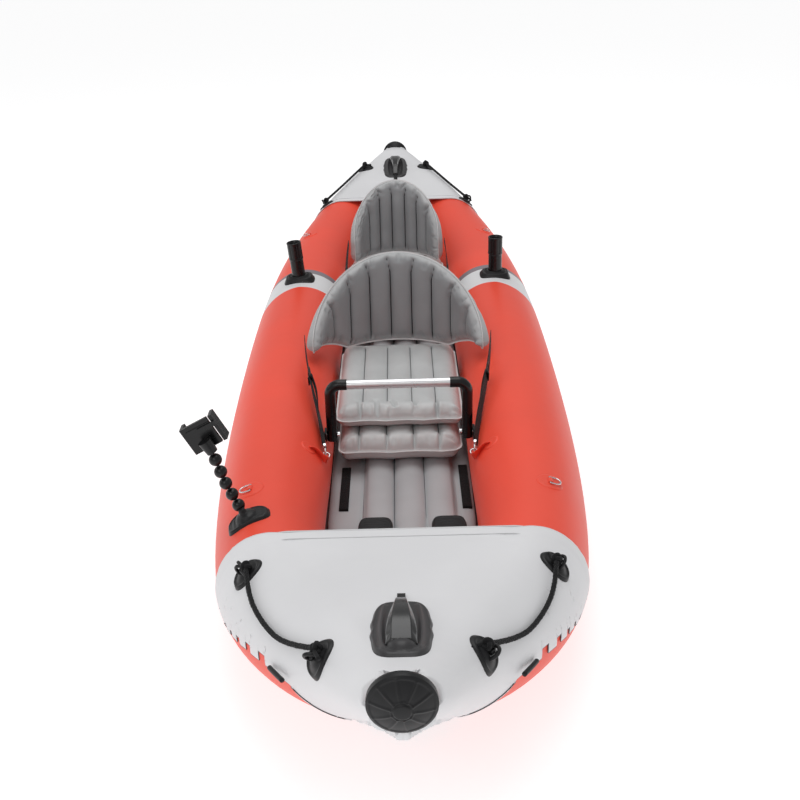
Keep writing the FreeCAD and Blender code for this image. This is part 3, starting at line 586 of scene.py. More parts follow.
# ---------------------------------------------------------------- deck covers
def deck_row(y, columns, notch_depth=0.0):
    """Points across a cover at one station, from its left lower edge over the top to the right one.

    Both covers start from the stern's stations, because y counts from the middle; on_cad() then draws them
    onto their own end."""
    half_width, breadth, tall, height = section_at(y)
    a, b = breadth + SKIN, tall + SKIN
    edge_z = np.interp(y, *zip(*EDGE_LINE)) + notch_depth
    wrap = rise(*WRAP, y)
    low = math.asin(max(-1.0, min(1.0, (edge_z - height) / b)))
    angles = np.linspace(math.pi / 2, low * (1 - wrap) - math.pi / 2 * wrap, 400)
    xs = half_width - breadth + a * np.cos(angles)
    zs = height + b * np.sin(angles)
    xs = np.concatenate([[0.0], xs, [xs[-1] * (1 - wrap)]])
    zs = np.concatenate([[height + b], zs, [zs[-1]]])
    run = np.concatenate([[0], np.cumsum(np.hypot(np.diff(xs), np.diff(zs)))])
    share = np.abs(columns) * run[-1]
    return np.interp(share, run, xs) * np.sign(columns), np.interp(share, run, zs), run[-1]


def notch_at(y):
    return sum(depth for middle, width, depth in NOTCHES if abs(y - middle) <= width / 2)


def deck_rows():
    """Distances of a cover's rows along the boat, with a row on each side of every notch's edge."""
    stops = [DECK_EDGE, DECK_EDGE + 0.034]
    for middle, width, _ in NOTCHES:
        stops += [middle + side * width / 2 + gap for side in (-1, 1) for gap in (-0.0002, 0.0002)]
    stops += [*WRAP, 1.760, TIP + 0.001]
    rows = [stops[0]]
    for a, b in zip(stops[:-1], stops[1:]):
        count = max(1, math.ceil((b - a) / (0.0015 if WRAP[0] <= a < WRAP[1] else 0.006)))
        rows += [a + (b - a) * i / count for i in range(1, count + 1)]
    return rows


def on_cad(p, section, cover, tubes):
    """Point of a cover drawn onto the CAD cover between the chambers, and onto the chambers beside them."""
    half_width, breadth, _, height = section
    if abs(p.x) < half_width - breadth:
        found = cover.ray_cast(p + UP * 0.030, -UP, 0.05)[0] if p.z > height else None
        return p if found is None else found
    found, normal, _, _ = tubes.find_nearest(p)
    axis = Vector((math.copysign(half_width - breadth, p.x), p.y, height))
    if abs(normal.y) > 0.80:
        return p + (p - axis).normalized() * 0.0030
    normal = normal if normal.dot(found - axis) > 0 else -normal
    return found + normal * (SKIN - 0.0002) * math.hypot(normal.x, normal.z)


def round_shoulders(row, y, section):
    """Evens out the row where the cover leaves each chamber."""
    near = [k for k in range(1, len(row) - 1) if abs(abs(row[k].x) - (section[0] - section[1])) < 0.026]
    for _ in range(round(14 * fall(1.42, 1.58, y))):
        mean = {k: (row[k - 1] + row[k + 1]) / 2 for k in near}
        for k in near:
            row[k] = row[k].lerp(mean[k], 0.6)


def lifted(row, y, end):
    """The row raised by the folded hem, by the slack of the cloth and, at the tip, away from the tubes."""
    tip = rise(1.76, 1.85, y)
    hem = 0.0012 if y < DECK_EDGE + HEM else 0.0
    slack = 0.0022 * rise(DECK_EDGE + 0.03, 1.4, y) * (1 - tip)
    ruffle = 0.0009 * fall(DECK_EDGE + 0.02, 1.40, y)
    out = []
    for k, p in enumerate(row):
        across = row[min(k + 1, len(row) - 1)] - row[max(k - 1, 0)]
        normal = Vector((-across.z, 0, across.x))
        normal = normal.normalized() if normal.length > 1e-9 else UP
        lift = hem + slack * noise.noise(Vector((p.x * 3.0, p.y * 7.0 * end, 3.1))) + 0.0028 * tip
        lift += ruffle * noise.noise(Vector((p.x * 5.0, p.y * 40.0, 1.7)))
        out.append(p + normal * lift)
    return out


def deck_cover(end_name, finish):
    end = ENDS[end_name]
    rows = deck_rows()
    # the last twentieth of each half is the strip that the notches are cut from
    half = np.concatenate([np.linspace(0, 0.95, 70), np.linspace(0.95, 1.0, 5)[1:]])
    columns = np.concatenate([-half[::-1][:-1], half])
    strip = np.array([rise(0.80, 1.0, abs(u)) for u in columns])
    cover = cad_surface(end_name + "_deck_cover")
    tubes = cad_surface("left_air_chamber", "right_air_chamber")
    points, edge, area = [], [], 0.0
    for i, y in enumerate(rows):
        x, z, run = deck_row(y, columns)
        x_cut, z_cut, _ = deck_row(y, columns, notch_at(y))
        x = x * (1 - strip) + x_cut * strip
        z = z * (1 - strip) + z_cut * strip
        area += run * (rows[min(i + 1, len(rows) - 1)] - rows[max(i - 1, 0)])
        section = section_at(y)
        row = [on_cad(Vector((px, end * y, pz)), section, cover, tubes) for px, pz in zip(x, z)]
        round_shoulders(row, y, section)
        points += lifted(row, y, end)
        # edge is centimetres from the lower cut edge; the deck finish paints the last 1.6 mm of it dark as
        # painted shade along that edge
        edge += [(1 - abs(u)) * run * 100 if y < WRAP[1] else 9.0 for u in columns]
    count = len(columns)
    rim = points[-count:]
    centre = Vector((0, end * TIP, section_at(TIP)[3]))
    for share, ahead in ((0.97, 0.0035), (0.85, 0.0065), (0.5, 0.0080), (0.02, 0.0085)):
        for p in rim:
            inner = centre.lerp(p, share)
            points.append(Vector((inner.x, end * (TIP + 0.001 + ahead), inner.z)))
        edge += [9.0] * count
    faces = grid_faces(len(rows) + 4, count, flip=end < 0)
    made = add_piece(end_name + "_deck", (points, faces), finish, "grey_deck", values={"edge": edge},
                     replaces=[end_name + "_deck_cover"])
    thick = made.modifiers.new("thickness", "SOLIDIFY")
    thick.thickness = 0.0022
    thick.offset = -1
    return made


def deck_extras(end_name, finishes):
    """Rolled hem, its stitch line and the dark slots beside the nose."""
    end = ENDS[end_name]
    columns = np.linspace(-1, 1, 161)
    parts = []
    for y, lift, radius in ((DECK_EDGE - 0.0005, -0.0002, 0.0026), (DECK_EDGE + HEM + 0.0005, 0.0012, 0.0009)):
        x, z, _ = deck_row(y, columns)
        line = []
        for k in range(len(columns)):
            a, b = max(k - 1, 0), min(k + 1, len(columns) - 1)
            normal = Vector((z[a] - z[b], 0, x[b] - x[a])).normalized()
            line.append(Vector((x[k], end * y, z[k])) + normal * lift)
        parts.append(tube_mesh(line, radius, 6))
    add_piece(end_name + "_deck_hem", joined(parts), finishes["hem"], "grey_deck")
    parts = []
    for side in (-1, 1):
        line = []
        for t in np.linspace(-1, 1, 15):
            y = SLOT_Y + t * SLOT_LENGTH / 2
            half_width, breadth, tall, height = section_at(y)
            z = SLOT_Z + 0.006 * t
            angle = math.asin(max(-1.0, min(1.0, (z - height) / (tall + SKIN))))
            x = half_width - breadth + (breadth + SKIN - 0.0025) * math.cos(angle)
            line.append((side * x, end * y, z))
        parts.append(tube_mesh(line, 0.0048, 8))
    add_piece(end_name + "_deck_slots", joined(parts), finishes["rubber"], "black_rubber")


# ---------------------------------------------------------------- puffed pads
def puffed(node, finish, columns, row_count, place, outline, welds, puckers, creases, high, low, round_high,
           round_low, weld_depth, seed, weld_round=0.031, back_welds=True, body="hull"):
    """Air pad of two sheets welded round their rim and along the channel lines.

    columns are places across the flat pad, outline(s) gives its lowest and highest point there, and
    place(s, t, h) puts a flat point, raised by h towards the sitter, on the boat."""
    rows = (1 - np.cos(np.linspace(0, math.pi, row_count))) / 2 * 0.55 + np.linspace(0, 1, row_count) * 0.45
    lows, highs = np.array([outline(s) for s in columns]).T
    flat_s = np.repeat(columns[:, None], row_count, axis=1)
    flat_t = lows[:, None] + (highs - lows)[:, None] * rows[None, :]
    border = list(zip(columns, lows)) + list(zip(columns[::-1], highs[::-1]))
    creases = rim_creases(border, *puckers) + creases
    edge = distance_to(flat_s, flat_t, [(*a, *b) for a, b in zip(border, border[1:] + border[:1])])
    weld = distance_to(flat_s, flat_t, welds)
    channel = 1 - bulge(weld, weld_round)
    inner = np.maximum(edge - RIM, 0)
    crease = np.zeros(flat_s.shape)
    for x0, y0, x1, y1, deep in creases:
        far = distance_to(flat_s, flat_t, [(x0, y0, x1, y1)])
        start = np.hypot(flat_s - x0, flat_t - y0) / math.hypot(x1 - x0, y1 - y0)
        crease += 2.1 * deep * np.exp(-(far / 0.0038) ** 2) * np.clip(1.15 - start, 0, 1)
        crease -= 0.45 * deep * np.exp(-((far - 0.0085) / 0.0045) ** 2) * np.clip(1.0 - start, 0, 1)
    flat = np.stack([flat_s, flat_t, np.full_like(flat_s, seed)], -1)
    wobble = smooth_noise(flat, 0.055, seed).reshape(flat_s.shape)
    front = high * bulge(inner, round_high) * (1 - weld_depth * channel) - crease * bulge(inner, 0.02)
    front += 0.0014 * wobble * bulge(inner, 0.03)
    back = low * bulge(inner, round_low) * (1 - (weld_depth if back_welds else 0.0) * channel)
    points = []
    for side, puff in ((1, front), (-1, back)):
        heights = side * (np.maximum(puff, 0.0) + FABRIC_HALF)
        points += [place(s, t, h) for s, t, h in zip(flat_s.ravel(), flat_t.ravel(), heights.ravel())]
    # weld and rim hold millimetres from the nearest weld line and from the rim; the finishes use weld to paint
    # shade into the weld grooves
    values = {"weld": np.tile(weld.ravel() * 1000, 2), "rim": np.tile(edge.ravel() * 1000, 2)}
    faces = slab_faces(*flat_s.shape, flip_wall=True)
    made = add_piece(node + "_pad", (points, faces), finish, "seat_grey", body, [node], values=values)


def rim_creases(border, count, length, deep, seed):
    """Short puckers that start on the rim and run inwards; border is a closed line in the flat pad."""
    draw = random.Random(seed)
    line = np.array(border)
    run = np.concatenate([[0], np.cumsum(np.hypot(*np.diff(line, axis=0).T))])
    centre = line.mean(0)
    out = []
    for i in range(count):
        at = (i + 0.5 + draw.uniform(-0.38, 0.38)) / count * run[-1]
        x, y = (np.interp(at, run, line[:, k]) for k in (0, 1))
        x2, y2 = (np.interp((at + 0.004) % run[-1], run, line[:, k]) for k in (0, 1))
        nx, ny = y - y2, x2 - x
        size = math.hypot(nx, ny) or 1.0
        if nx * (centre[0] - x) + ny * (centre[1] - y) < 0:
            size = -size
        nx, ny = nx / size, ny / size
        lean = draw.uniform(-0.35, 0.35)
        nx, ny = nx * math.cos(lean) - ny * math.sin(lean), nx * math.sin(lean) + ny * math.cos(lean)
        reach = length * draw.uniform(0.55, 1.25)
        out.append((x, y, x + nx * reach, y + ny * reach, deep * draw.uniform(0.45, 1.2)))
    return out


# Kinds of cushion. middle is the flat height: share of the node's height, and metres more. wave is the
# scallops of the front edge: depth, rate and phase. margins are how far the welds stay from the front and the
# back. creases run from one (x, distance from the front) to another, with a depth.
BOOSTER = {
    "middle": (0.5, -0.002), "corner": 0.030, "wave": (0.006, 23.0, 0.6),
    "lines": (-0.112, -0.037, 0.036, 0.105), "margins": (0.052, 0.055), "step": 0.0048,
    "puckers": (34, 0.034, 0.0085, 11),
    "creases": [(x, 0.0, x + 0.004, 0.052, 0.013) for x in (-0.112, -0.037, 0.036, 0.105)],
    "rounding": (0.040, 0.038), "weld_depth": 0.42, "seed": 2.0,
}
SEAT_PAD = {
    "middle": (0.0, 0.026), "corner": 0.026, "wave": (0.005, 31.0, 1.1),
    "lines": (-0.100, -0.033, 0.035, 0.100), "margins": (0.066, 0.040), "step": 0.0042,
    "puckers": (30, 0.030, 0.007, 5),
    "creases": [(-0.105, 0.0, -0.108, 0.058, 0.016), (-0.056, 0.0, -0.064, 0.066, 0.016),
                (0.104, 0.0, 0.101, 0.066, 0.015), (-0.012, 0.030, -0.026, 0.070, 0.009),
                (0.044, 0.036, 0.036, 0.070, 0.008)],
    "rounding": (0.037, 0.026), "weld_depth": 0.36, "seed": 4.0,
}


def cushion(node, kind, finish, shift):
    """Cushion of a seat, with channels that run fore and aft."""
    low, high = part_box(node)
    x0, y0 = low.x + CUSHION_INSET, low.y + CUSHION_INSET
    x1, y1 = high.x - CUSHION_INSET, high.y - CUSHION_INSET
    share, more = kind["middle"]
    middle = low.z + share * (high.z - low.z) + more
    corner = kind["corner"]
    deep, rate, phase = kind["wave"]

    def outline(s):
        cut = corner - math.sqrt(max(0.0, corner ** 2 - max(0.0, abs(s) - (x1 - corner)) ** 2))
        return y0 + cut + deep * abs(math.sin(s * rate + phase)), y1 - cut

    def place(s, t, h):
        return Vector((s, t, middle + h))

    front, back = kind["margins"]
    welds = [(x, y0 + front, x, y1 - back) for x in kind["lines"]]
    creases = [(xa, y0 + ya, xb, y0 + yb, depth) for xa, ya, xb, yb, depth in kind["creases"]]
    columns = closer_near([x0, *kind["lines"], x1], kind["step"])
    round_high, round_low = kind["rounding"]
    puffed(node, finish, columns, 120, place, outline, welds, kind["puckers"], creases,
           high=high.z - middle - 0.001, low=middle - low.z - 0.001,
           round_high=round_high, round_low=round_low, weld_depth=kind["weld_depth"], back_welds=False,
           seed=kind["seed"] + shift)


def backrest(node, finish, half_wide, deep, thick, spring, arch, low_edge, weld_lines, offset, shift, puckers,
             seed):
    """Backrest wrapped forward round the sitter; low_edge is the right half of its lower edge, leaned."""
    a, b = half_wide - thick / 2, deep - thick / 2
    centre_y = PIVOT_Y - 0.017 - deep
    angles = np.linspace(-math.pi / 2, math.pi / 2, 721)
    runs = np.concatenate([[0], np.cumsum(np.hypot(np.diff(a * np.sin(angles)), np.diff(b * np.cos(angles))))])
    runs -= runs[-1] / 2
    half_run = runs[-1]
    turn = Matrix.Rotation(-LEAN, 3, "X")
    pivot = Vector((0, PIVOT_Y, PIVOT_Z))

    def place(s, t, h):
        angle = float(np.interp(s, runs, angles))
        point = Vector((a * math.sin(angle), centre_y + b * math.cos(angle), t))
        outward = Vector((math.sin(angle) / a, math.cos(angle) / b, 0)).normalized()
        return turn @ (point - outward * h - pivot) + pivot + Vector((0, shift, 0))

    def outline(s):
        angle = float(np.interp(s, runs, angles))
        forward = centre_y + b * math.cos(angle) - PIVOT_Y
        edge = np.interp(half_wide * abs(math.sin(angle)), *zip(*low_edge)) + 0.004
        low = PIVOT_Z + (edge - PIVOT_Z + forward * math.sin(LEAN)) / math.cos(LEAN)
        high = spring + arch * math.cos(angle) - 0.002
        tip = max(0.0, (abs(s) - (half_run - 0.034)) / 0.034)
        middle, half = (low + high) / 2, (high - low) / 2
        half *= math.sqrt(max(0.02, 1 - 0.96 * tip ** 2.4))
        return middle - half, middle + half

    welds, stops = [], [0.002 - half_run, half_run - 0.002]
    for s, gap in weld_lines:
        for side in (-1, 1):
            at = offset + side * s
            low, high = outline(at)
            bend = (at, high - gap - 0.040)
            welds += [(at, low - 0.02, *bend), (*bend, at + side * 0.009, high - gap)]
            stops.append(at)
    top = outline(0.006)[1]
    puffed(node, finish, closer_near(sorted(stops), 0.0050), 110, place, outline, welds,
           (puckers, 0.032, 0.0075, seed), [(0.008, top, 0.006, top - 0.030, 0.016)], high=thick / 2 - 0.001,
           low=thick / 2 - 0.001, round_high=0.036, round_low=0.036, weld_depth=0.80, seed=seed * 1.0,
           weld_round=0.032, body=node)


def floor_pad(finish):
    """Inflated floor: three tubes between two flat strips."""
    low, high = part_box("floor_insert")
    y0, y1 = low.y + CUSHION_INSET, high.y - CUSHION_INSET
    middle, flat, tube_rise, underside = 0.046, 0.0605, 0.0235, 0.010
    rows = np.linspace(y0, y1, 360)
    widest = max(half for _, half in FLOOR_HALVES)
    shares = closer_near([-1.0] + [x / widest for x in FLOOR_LINES] + [1.0], 0.022)
    top, under, weld = [], [], []
    for y in rows:
        half = np.interp(y, *zip(*FLOOR_HALVES)) - 0.002
        lift = np.interp(abs(y), [0, 0.84, 1.12], [0.0, 0.001, 0.011])
        ends = bulge(min(y - y0, y1 - y), 0.05)
        for x in shares * half:
            near = min(abs(x - line) for line in FLOOR_LINES)
            if FLOOR_LINES[0] < x < FLOOR_LINES[-1]:
                strip = min(1.0, min(x - FLOOR_LINES[0], FLOOR_LINES[-1] - x) / 0.01)
                crest = (flat + tube_rise * bulge(near, 0.040)) * strip + 0.060 * (1 - strip)
            else:
                crest = flat - 0.0045 * ridge(near, 0.006) - 0.010 * (1 - bulge(half - abs(x), 0.02))
            ripple = 0.0009 * noise.noise(Vector((x * 22, y * 13, 0.3)))
            top.append(Vector((x, y, middle + (crest - middle) * ends + lift + ripple)))
            under.append(Vector((x, y, underside + lift)))
            # millimetres from the nearest weld line, which the floor finish darkens as painted shade in the
            # grooves
            weld.append(near * 1000)
    far = [40.0] * len(top)         # the underside has no weld lines
    made = add_piece("floor_air_pad", (top + under, slab_faces(len(rows), len(shares))), finish, "floor_grey",
                     values={"weld": weld + far}, replaces=["floor_insert"])


# ---------------------------------------------------------------- grab lines
def route_curve(name, points, radius):
    data = bpy.data.curves.new(name, "CURVE")
    data.dimensions = "3D"
    data.bevel_depth = radius
    data.bevel_resolution = 4
    data.use_fill_caps = True
    spline = data.splines.new("NURBS")
    spline.points.add(len(points) - 1)
    for k, p in enumerate(points):
        spline.points[k].co = (*p, 1.0)
    spline.order_u = 3
    spline.use_endpoint_u = True
    spline.resolution_u = 16
    made = bpy.data.objects.new(name, data)
    bpy.context.scene.collection.objects.link(made)
    return made


def curve_line(points):
    """Points along the route's own curve."""
    guide = route_curve("guide", points, 0.0)
    bpy.context.view_layer.update()
    mesh = bpy.data.meshes.new_from_object(guide)
    line = [v.co.copy() for v in mesh.vertices]
    bpy.data.objects.remove(guide)
    return line


def beside(ahead):
    """Level direction across a line, and the one that completes the frame."""
    u = UP.cross(ahead).normalized()
    return u, ahead.cross(u)


def braid_mesh(line):
    """Eight strands wound both ways round a line."""
    runs = np.concatenate([[0.0], np.cumsum([(b - a).length for a, b in zip(line[:-1], line[1:])])])
    steps = int(runs[-1] / 0.0022)
    samples = []
    for at in np.linspace(0, runs[-1], steps + 1):
        k = min(max(int(np.searchsorted(runs, at)) - 1, 0), len(line) - 2)
        t = (at - runs[k]) / max(runs[k + 1] - runs[k], 1e-9)
        samples.append((line[k].lerp(line[k + 1], t), *beside((line[k + 1] - line[k]).normalized()), at))
    parts = []
    for strand in range(8):
        path = []
        for centre, u, w, at in samples:
            angle = (1 if strand % 2 else -1) * at / 0.030 * 2 * math.pi + strand * math.pi / 4
            radius = ROPE_D / 2 * 0.80 + 0.0004 * math.sin(4 * angle + strand)
            path.append(centre + u * math.cos(angle) * radius + w * math.sin(angle) * radius)
        parts.append(tube_mesh(path, 0.00125, 5))
    return joined(parts)


def knot_meshes(centre, toward, tail_side):
    """Overhand knot and its tail at the end of a rope."""
    ahead = (toward - centre).normalized()
    u, w = beside(ahead)
    loop = []
    for i in range(64):
        angle = 2 * math.pi * i / 64
        ring = 0.0068 + 0.0016 * math.cos(3 * angle)
        loop.append(centre + ahead * (0.004 + 0.0042 * math.sin(3 * angle))
                    + u * math.cos(2 * angle) * ring + w * math.sin(2 * angle) * ring)
    tail = [centre + ahead * 0.004 * (1 - i) + u * (0.006 + 0.0015 * i) * tail_side - w * 0.002 * i
            for i in range(7)]
    return [tube_mesh(loop, 0.0042, 8, closed=True), tube_mesh(tail, 0.0036, 8)]


def grab_line(end_name, side_name, finish):
    """Rope with a braided cover, tied to a loop at each end."""
    side = SIDES[side_name]
    route = [(side * x, y, z) for x, y, z in GRAB_ROUTE[end_name]]
    name = end_name + "_" + side_name + "_grab"
    rope = route_curve(name + "_rope", route, ROPE_D / 2 * 0.9)
    rope.data.materials.append(finish)
    braid = add_piece(name + "_braid", braid_mesh(curve_line(route)), finish, "rope_black")
    stops = [Vector(p) for p in route]
    knots = knot_meshes(stops[0], stops[1], -1) + knot_meshes(stops[-1], stops[-2], 1)
    knot = add_piece(name + "_knots", joined(knots), finish, "rope_black")
    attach(rope, "hull")
    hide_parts(end_name + "_" + side_name + "_grab_line")
    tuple(route[0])


# ---------------------------------------------------------------- moulded pieces that lie on a surface
def moulded(centre, normal, ahead, outline, height, tree, rings, turns, hole=0.0, skirt=0.0015):
    """Closed moulded plate that follows the surface below it.

    outline(angle) is its radius, height(share, u, v, ground) its top above the centre's plane."""
    centre, normal, ahead = Vector(centre), Vector(normal).normalized(), Vector(ahead)
    ahead = (ahead - normal * ahead.dot(normal)).normalized()
    across = ahead.cross(normal)
    angles = [2 * math.pi * k / turns for k in range(turns)]

    def spot(reach, angle):
        """Flat place of a point and how far the surface lies above the plane there."""
        u, v = reach * math.cos(angle), reach * math.sin(angle)
        base = centre + across * u + ahead * v
        hit = tree.ray_cast(base + normal * 0.06, -normal, 0.20)[0] if tree else None
        return u, v, base, (hit - base).dot(normal) if hit is not None else 0.0

    points = []
    for share in np.linspace(0, 1, rings + 1):
        for angle in angles:
            u, v, base, ground = spot(hole + (outline(angle) - hole) * share, angle)
            points.append(base + normal * height(share, u, v, ground))
    for angle in angles:
        _, _, base, ground = spot(outline(angle) + 0.0004, angle)
        points.append(base + normal * (ground - skirt))
    faces = grid_faces(rings + 2, turns, close_columns=True)
    faces.append(tuple((rings + 1) * turns + k for k in range(turns)))
    return points, faces


def barrel(half_x, half_y, power=3.2):
    """Radius of a rounded oblong at each angle."""
    def radius(angle):
        c, s = abs(math.cos(angle)), abs(math.sin(angle))
        return ((c / half_x) ** power + (s / half_y) ** power) ** (-1 / power)
    return radius


def grab_patch(end_name, trees, finish):
    """Oval patches with a raised triangular loop, one at each end of the ropes."""
    tree = trees[end_name + "_deck"]
    arch = [(-0.015, 0.0), (-0.0135, 0.010), (-0.009, 0.0185), (0.0, 0.0225),
            (0.009, 0.0185), (0.0135, 0.010), (0.015, 0.0)]

    def height(share, u, v, ground):
        edge = 0.0042 * fall(0.90, 1.0, share) + 0.0022 * ridge(share - 0.86, 0.06)
        return ground + edge + 0.0050 * fall(0.25, 0.75, share)

    parts = []
    for side in (-1, 1):
        ends = [Vector((x * side, y, z)) for x, y, z in (GRAB_ROUTE[end_name][0], GRAB_ROUTE[end_name][-1])]
        for here, there in (ends, ends[::-1]):
            place, _ = drop_on(tree, here.x, here.y)
            normal = smooth_normal(tree, here.x, here.y)
            along = (there - here).normalized()
            cross = normal.cross(along)
            parts.append(moulded(place, normal, cross, barrel(0.029, 0.037, 2.1), height, tree, 16, 56))
            loop = [place + along * u * 0.6 + cross * u * 0.55 + normal * (0.004 + h) for u, h in arch]
            fan = [place + along * (0.020 * t - 0.004) + normal * (0.014 - 0.006 * t) for t in (0, 0.5, 1)]
            parts += [tube_mesh(smoothed(loop), 0.0036, 8), tube_mesh(smoothed(fan), 0.0062, 8, squash=0.6)]
    add_piece(end_name + "_grab_loops", joined(parts), finish, "black_rubber",
              replaces=[end_name + "_grab_patches"])


def carry_handle(end_name, trees, finishes):
    """Barrel-shaped rubber plate, its arched grip and the tape under the plate."""
    tree = trees[end_name + "_deck"]
    low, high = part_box(end_name + "_handle_base")
    y = (low.y + high.y) / 2
    place, _ = drop_on(tree, 0, y)
    normal = smooth_normal(tree, 0, y)
    nose = Vector((0, ENDS[end_name], 0))
    nose = (nose - normal * nose.dot(normal)).normalized()
    across = nose.cross(normal)

    def outline(angle):
        return barrel(0.0535, 0.1145, 3.1)(angle) * (1 - 0.035 * math.cos(4 * angle) ** 2)

    def height(share, u, v, ground):
        edge = 0.0050 * fall(0.945, 1.0, share)
        rim = 0.0010 * ridge(share - 0.915, 0.022)
        off_rail = abs(u) - 0.0345 * (1 - 0.25 * (v / 0.11) ** 2)
        rail = 0.0042 * ridge(off_rail, 0.0050) * fall(0.72, 0.88, abs(v) / 0.115)
        saddle = 0.0030 * ridge(v - 0.088, 0.012) * fall(0.020, 0.034, abs(u))
        dome = 0.0140 * math.sqrt(max(0.0, 1 - (u / 0.0245) ** 2 - ((v - 0.070) / 0.030) ** 2))
        return ground + edge + rim + rail + saddle + dome

    add_piece(end_name + "_handle_plate", moulded(place, normal, nose, outline, height, tree, 56, 144),
              finishes["rubber_soft"], "black_rubber", replaces=[end_name + "_handle_base"])

    # Section of the grip: place across, share of its height, and how far it takes the narrow width
    section = [(-1, 0, 0.0), (-1, 0.35, 0.0), (-0.96, 0.52, 0.0), (-0.5, 0.80, 0.5),
               (-1.04, 1.0, 1.0), (-0.94, 1.10, 1.0), (-0.5, 1.04, 1.0), (0, 1.0, 1.0)]
    section += [(-u, h, mix) for u, h, mix in section[:-1][::-1]]
    section += [(0.6, 0.0, 0.0), (0, -0.02, 0.0), (-0.6, 0.0, 0.0)]
    lengthwise = np.linspace(0, 1, 56)
    points = []
    for t in lengthwise:
        v = -0.093 + 0.172 * t
        outer = 0.041 * math.sin(math.pi * min(1, max(0, (v + 0.096) / 0.184))) ** 0.62
        inner = 0.0245 * math.sqrt(max(0.0, 1 - ((v - 0.003) / 0.058) ** 2))
        top, under = max(outer, inner + 0.009) + 0.0063, inner + 0.0055
        flare = rise(-0.060, 0.070, v)
        narrow, broad = 0.0085 + 0.0080 * flare, 0.0115 + 0.0150 * flare
        for u, h, mix in section:
            wide = broad * (1 - mix) + narrow * mix
            if abs(u) == 0.5:
                wide = (broad + narrow) * (0.92 if mix == 0.5 else 0.45)
            lift = min(h, 1.0) * (top - under) * (0.96 if mix == 1.0 else 1.0) + max(0.0, h - 1.0) * 0.004
            points.append(place + nose * v + across * u * wide + normal * (under + lift))
    grip = (points, pipe_faces(len(lengthwise), len(section)))
    made = add_piece(end_name + "_grip", grip, finishes["rubber_gloss"], "black_rubber",
                     replaces=[end_name + "_handle_grip"])
    rounder = made.modifiers.new("round", "SUBSURF")
    rounder.levels = rounder.render_levels = 1
    tape = []
    for t in np.linspace(0, 1, 8):
        base = place + nose * (-0.140 + 0.052 * t)
        hit = tree.ray_cast(base + normal * 0.06, -normal, 0.2)[0]
        for u, lift in ((-0.0075, 0.0005), (-0.0075, 0.0040), (0.0075, 0.0040), (0.0075, 0.0005)):
            tape.append(hit + across * u + normal * (lift + 0.006 * t))
    faces = grid_faces(8, 4, close_columns=True) + [(0, 1, 2, 3), (31, 30, 29, 28)]
    add_piece(end_name + "_handle_tape", (tape, faces), finishes["webbing"], "webbing_black", smooth=False)


def nose_cap(end_name, finish):
    """Domed rubber cap with radial ribs and a small centre disc."""
    end = ENDS[end_name]
    low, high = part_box(end_name + "_nose_cap")
    centre_z = (low.z + high.z) / 2
    radius = (high.z - low.z) / 2
    back = TIP + 0.0012
    turns = 200
    skirt = [(1.0, 0.0105), (1.0, 0.004), (0.995, 0.0002)]      # share of the radius, depth
    shares = np.concatenate([np.linspace(0.02, 0.98, 46), [0.99, 0.997]])
    spots = []
    for share in shares:
        dome = 0.0185 * (1 - share ** 2) + 0.0118
        panel = -0.0016 * rise(0.30, 0.36, share) * fall(0.86, 0.93, share)
        disc = 0.0012 * fall(0.22, 0.27, share) - 0.0014 * ridge(share - 0.285, 0.02)
        for k in range(turns):
            off_rib = 0.5 - abs((k / turns * 10 + 0.25) % 1 - 0.5)
            rib = 0.0013 * ridge(off_rib * share * 30, 2.0) * rise(0.27, 0.32, share) * fall(0.90, 0.95, share)
            spots.append((share, k, dome + rib + panel + disc))
    spots += [(share, k, depth) for share, depth in skirt for k in range(turns)]
    rows = len(spots) // turns
    points = []
    for share, k, depth in spots:
        angle, reach = 2 * math.pi * k / turns, radius * share
        points.append((reach * math.cos(angle), end * (back + depth), centre_z + reach * math.sin(angle)))
    first = tuple(range(turns))
    last = tuple((rows - 1) * turns + k for k in range(turns))
    faces = grid_faces(rows, turns, close_columns=True, flip=end > 0)
    faces += [first if end > 0 else first[::-1], last[::-1] if end > 0 else last]
    add_piece(end_name + "_cap", (points, faces), finish, "black_rubber", replaces=[end_name + "_nose_cap"])


def phone_base(trees, finish):
    """Moulded plate with a raised rim and the domed foot of the arm."""
    tree = trees["left_chamber"]
    x, y, turn = -0.327, -1.190, math.radians(11)

    def height(share, u, v, ground):
        reach = math.hypot(u, v)
        edge = 0.0055 * fall(0.93, 1.0, share) + 0.0018 * ridge(share - 0.88, 0.05)
        ribbed = rise(0.55, 0.62, share) * fall(0.78, 0.84, share)
        ribs = 0.0007 * (0.5 + 0.5 * math.cos(u * 2 * math.pi / 0.010)) * ribbed
        dome = 0.0125 * math.sqrt(max(0.0, 1 - (reach / 0.0245) ** 2))
        return ground + edge + ribs + dome + 0.010 * fall(0.0065, 0.0095, reach)

    plate = moulded(drop_on(tree, x, y)[0], smooth_normal(tree, x, y), (-math.sin(turn), math.cos(turn), 0),
                    barrel(0.0495, 0.0305, 3.4), height, tree, 44, 104)
    add_piece("phone_plate", plate, finish, "black_rubber", replaces=["phone_mount_plate"])


# ---------------------------------------------------------------- rod holders
def lathe(profile, turns, place, axis, ripple):
    """Surface turned round an axis; profile is (radius, height) from one end of the axis to the other."""
    side = Vector((0, 1, 0)).cross(axis).normalized()
    front = axis.cross(side)
    points = []
    for radius, height in profile:
        for k in range(turns):
            angle = 2 * math.pi * k / turns
            r = radius + ripple(radius, height, angle)
            points.append(place + axis * height + side * math.cos(angle) * r + front * math.sin(angle) * r)
    return points, pipe_faces(len(profile), turns)


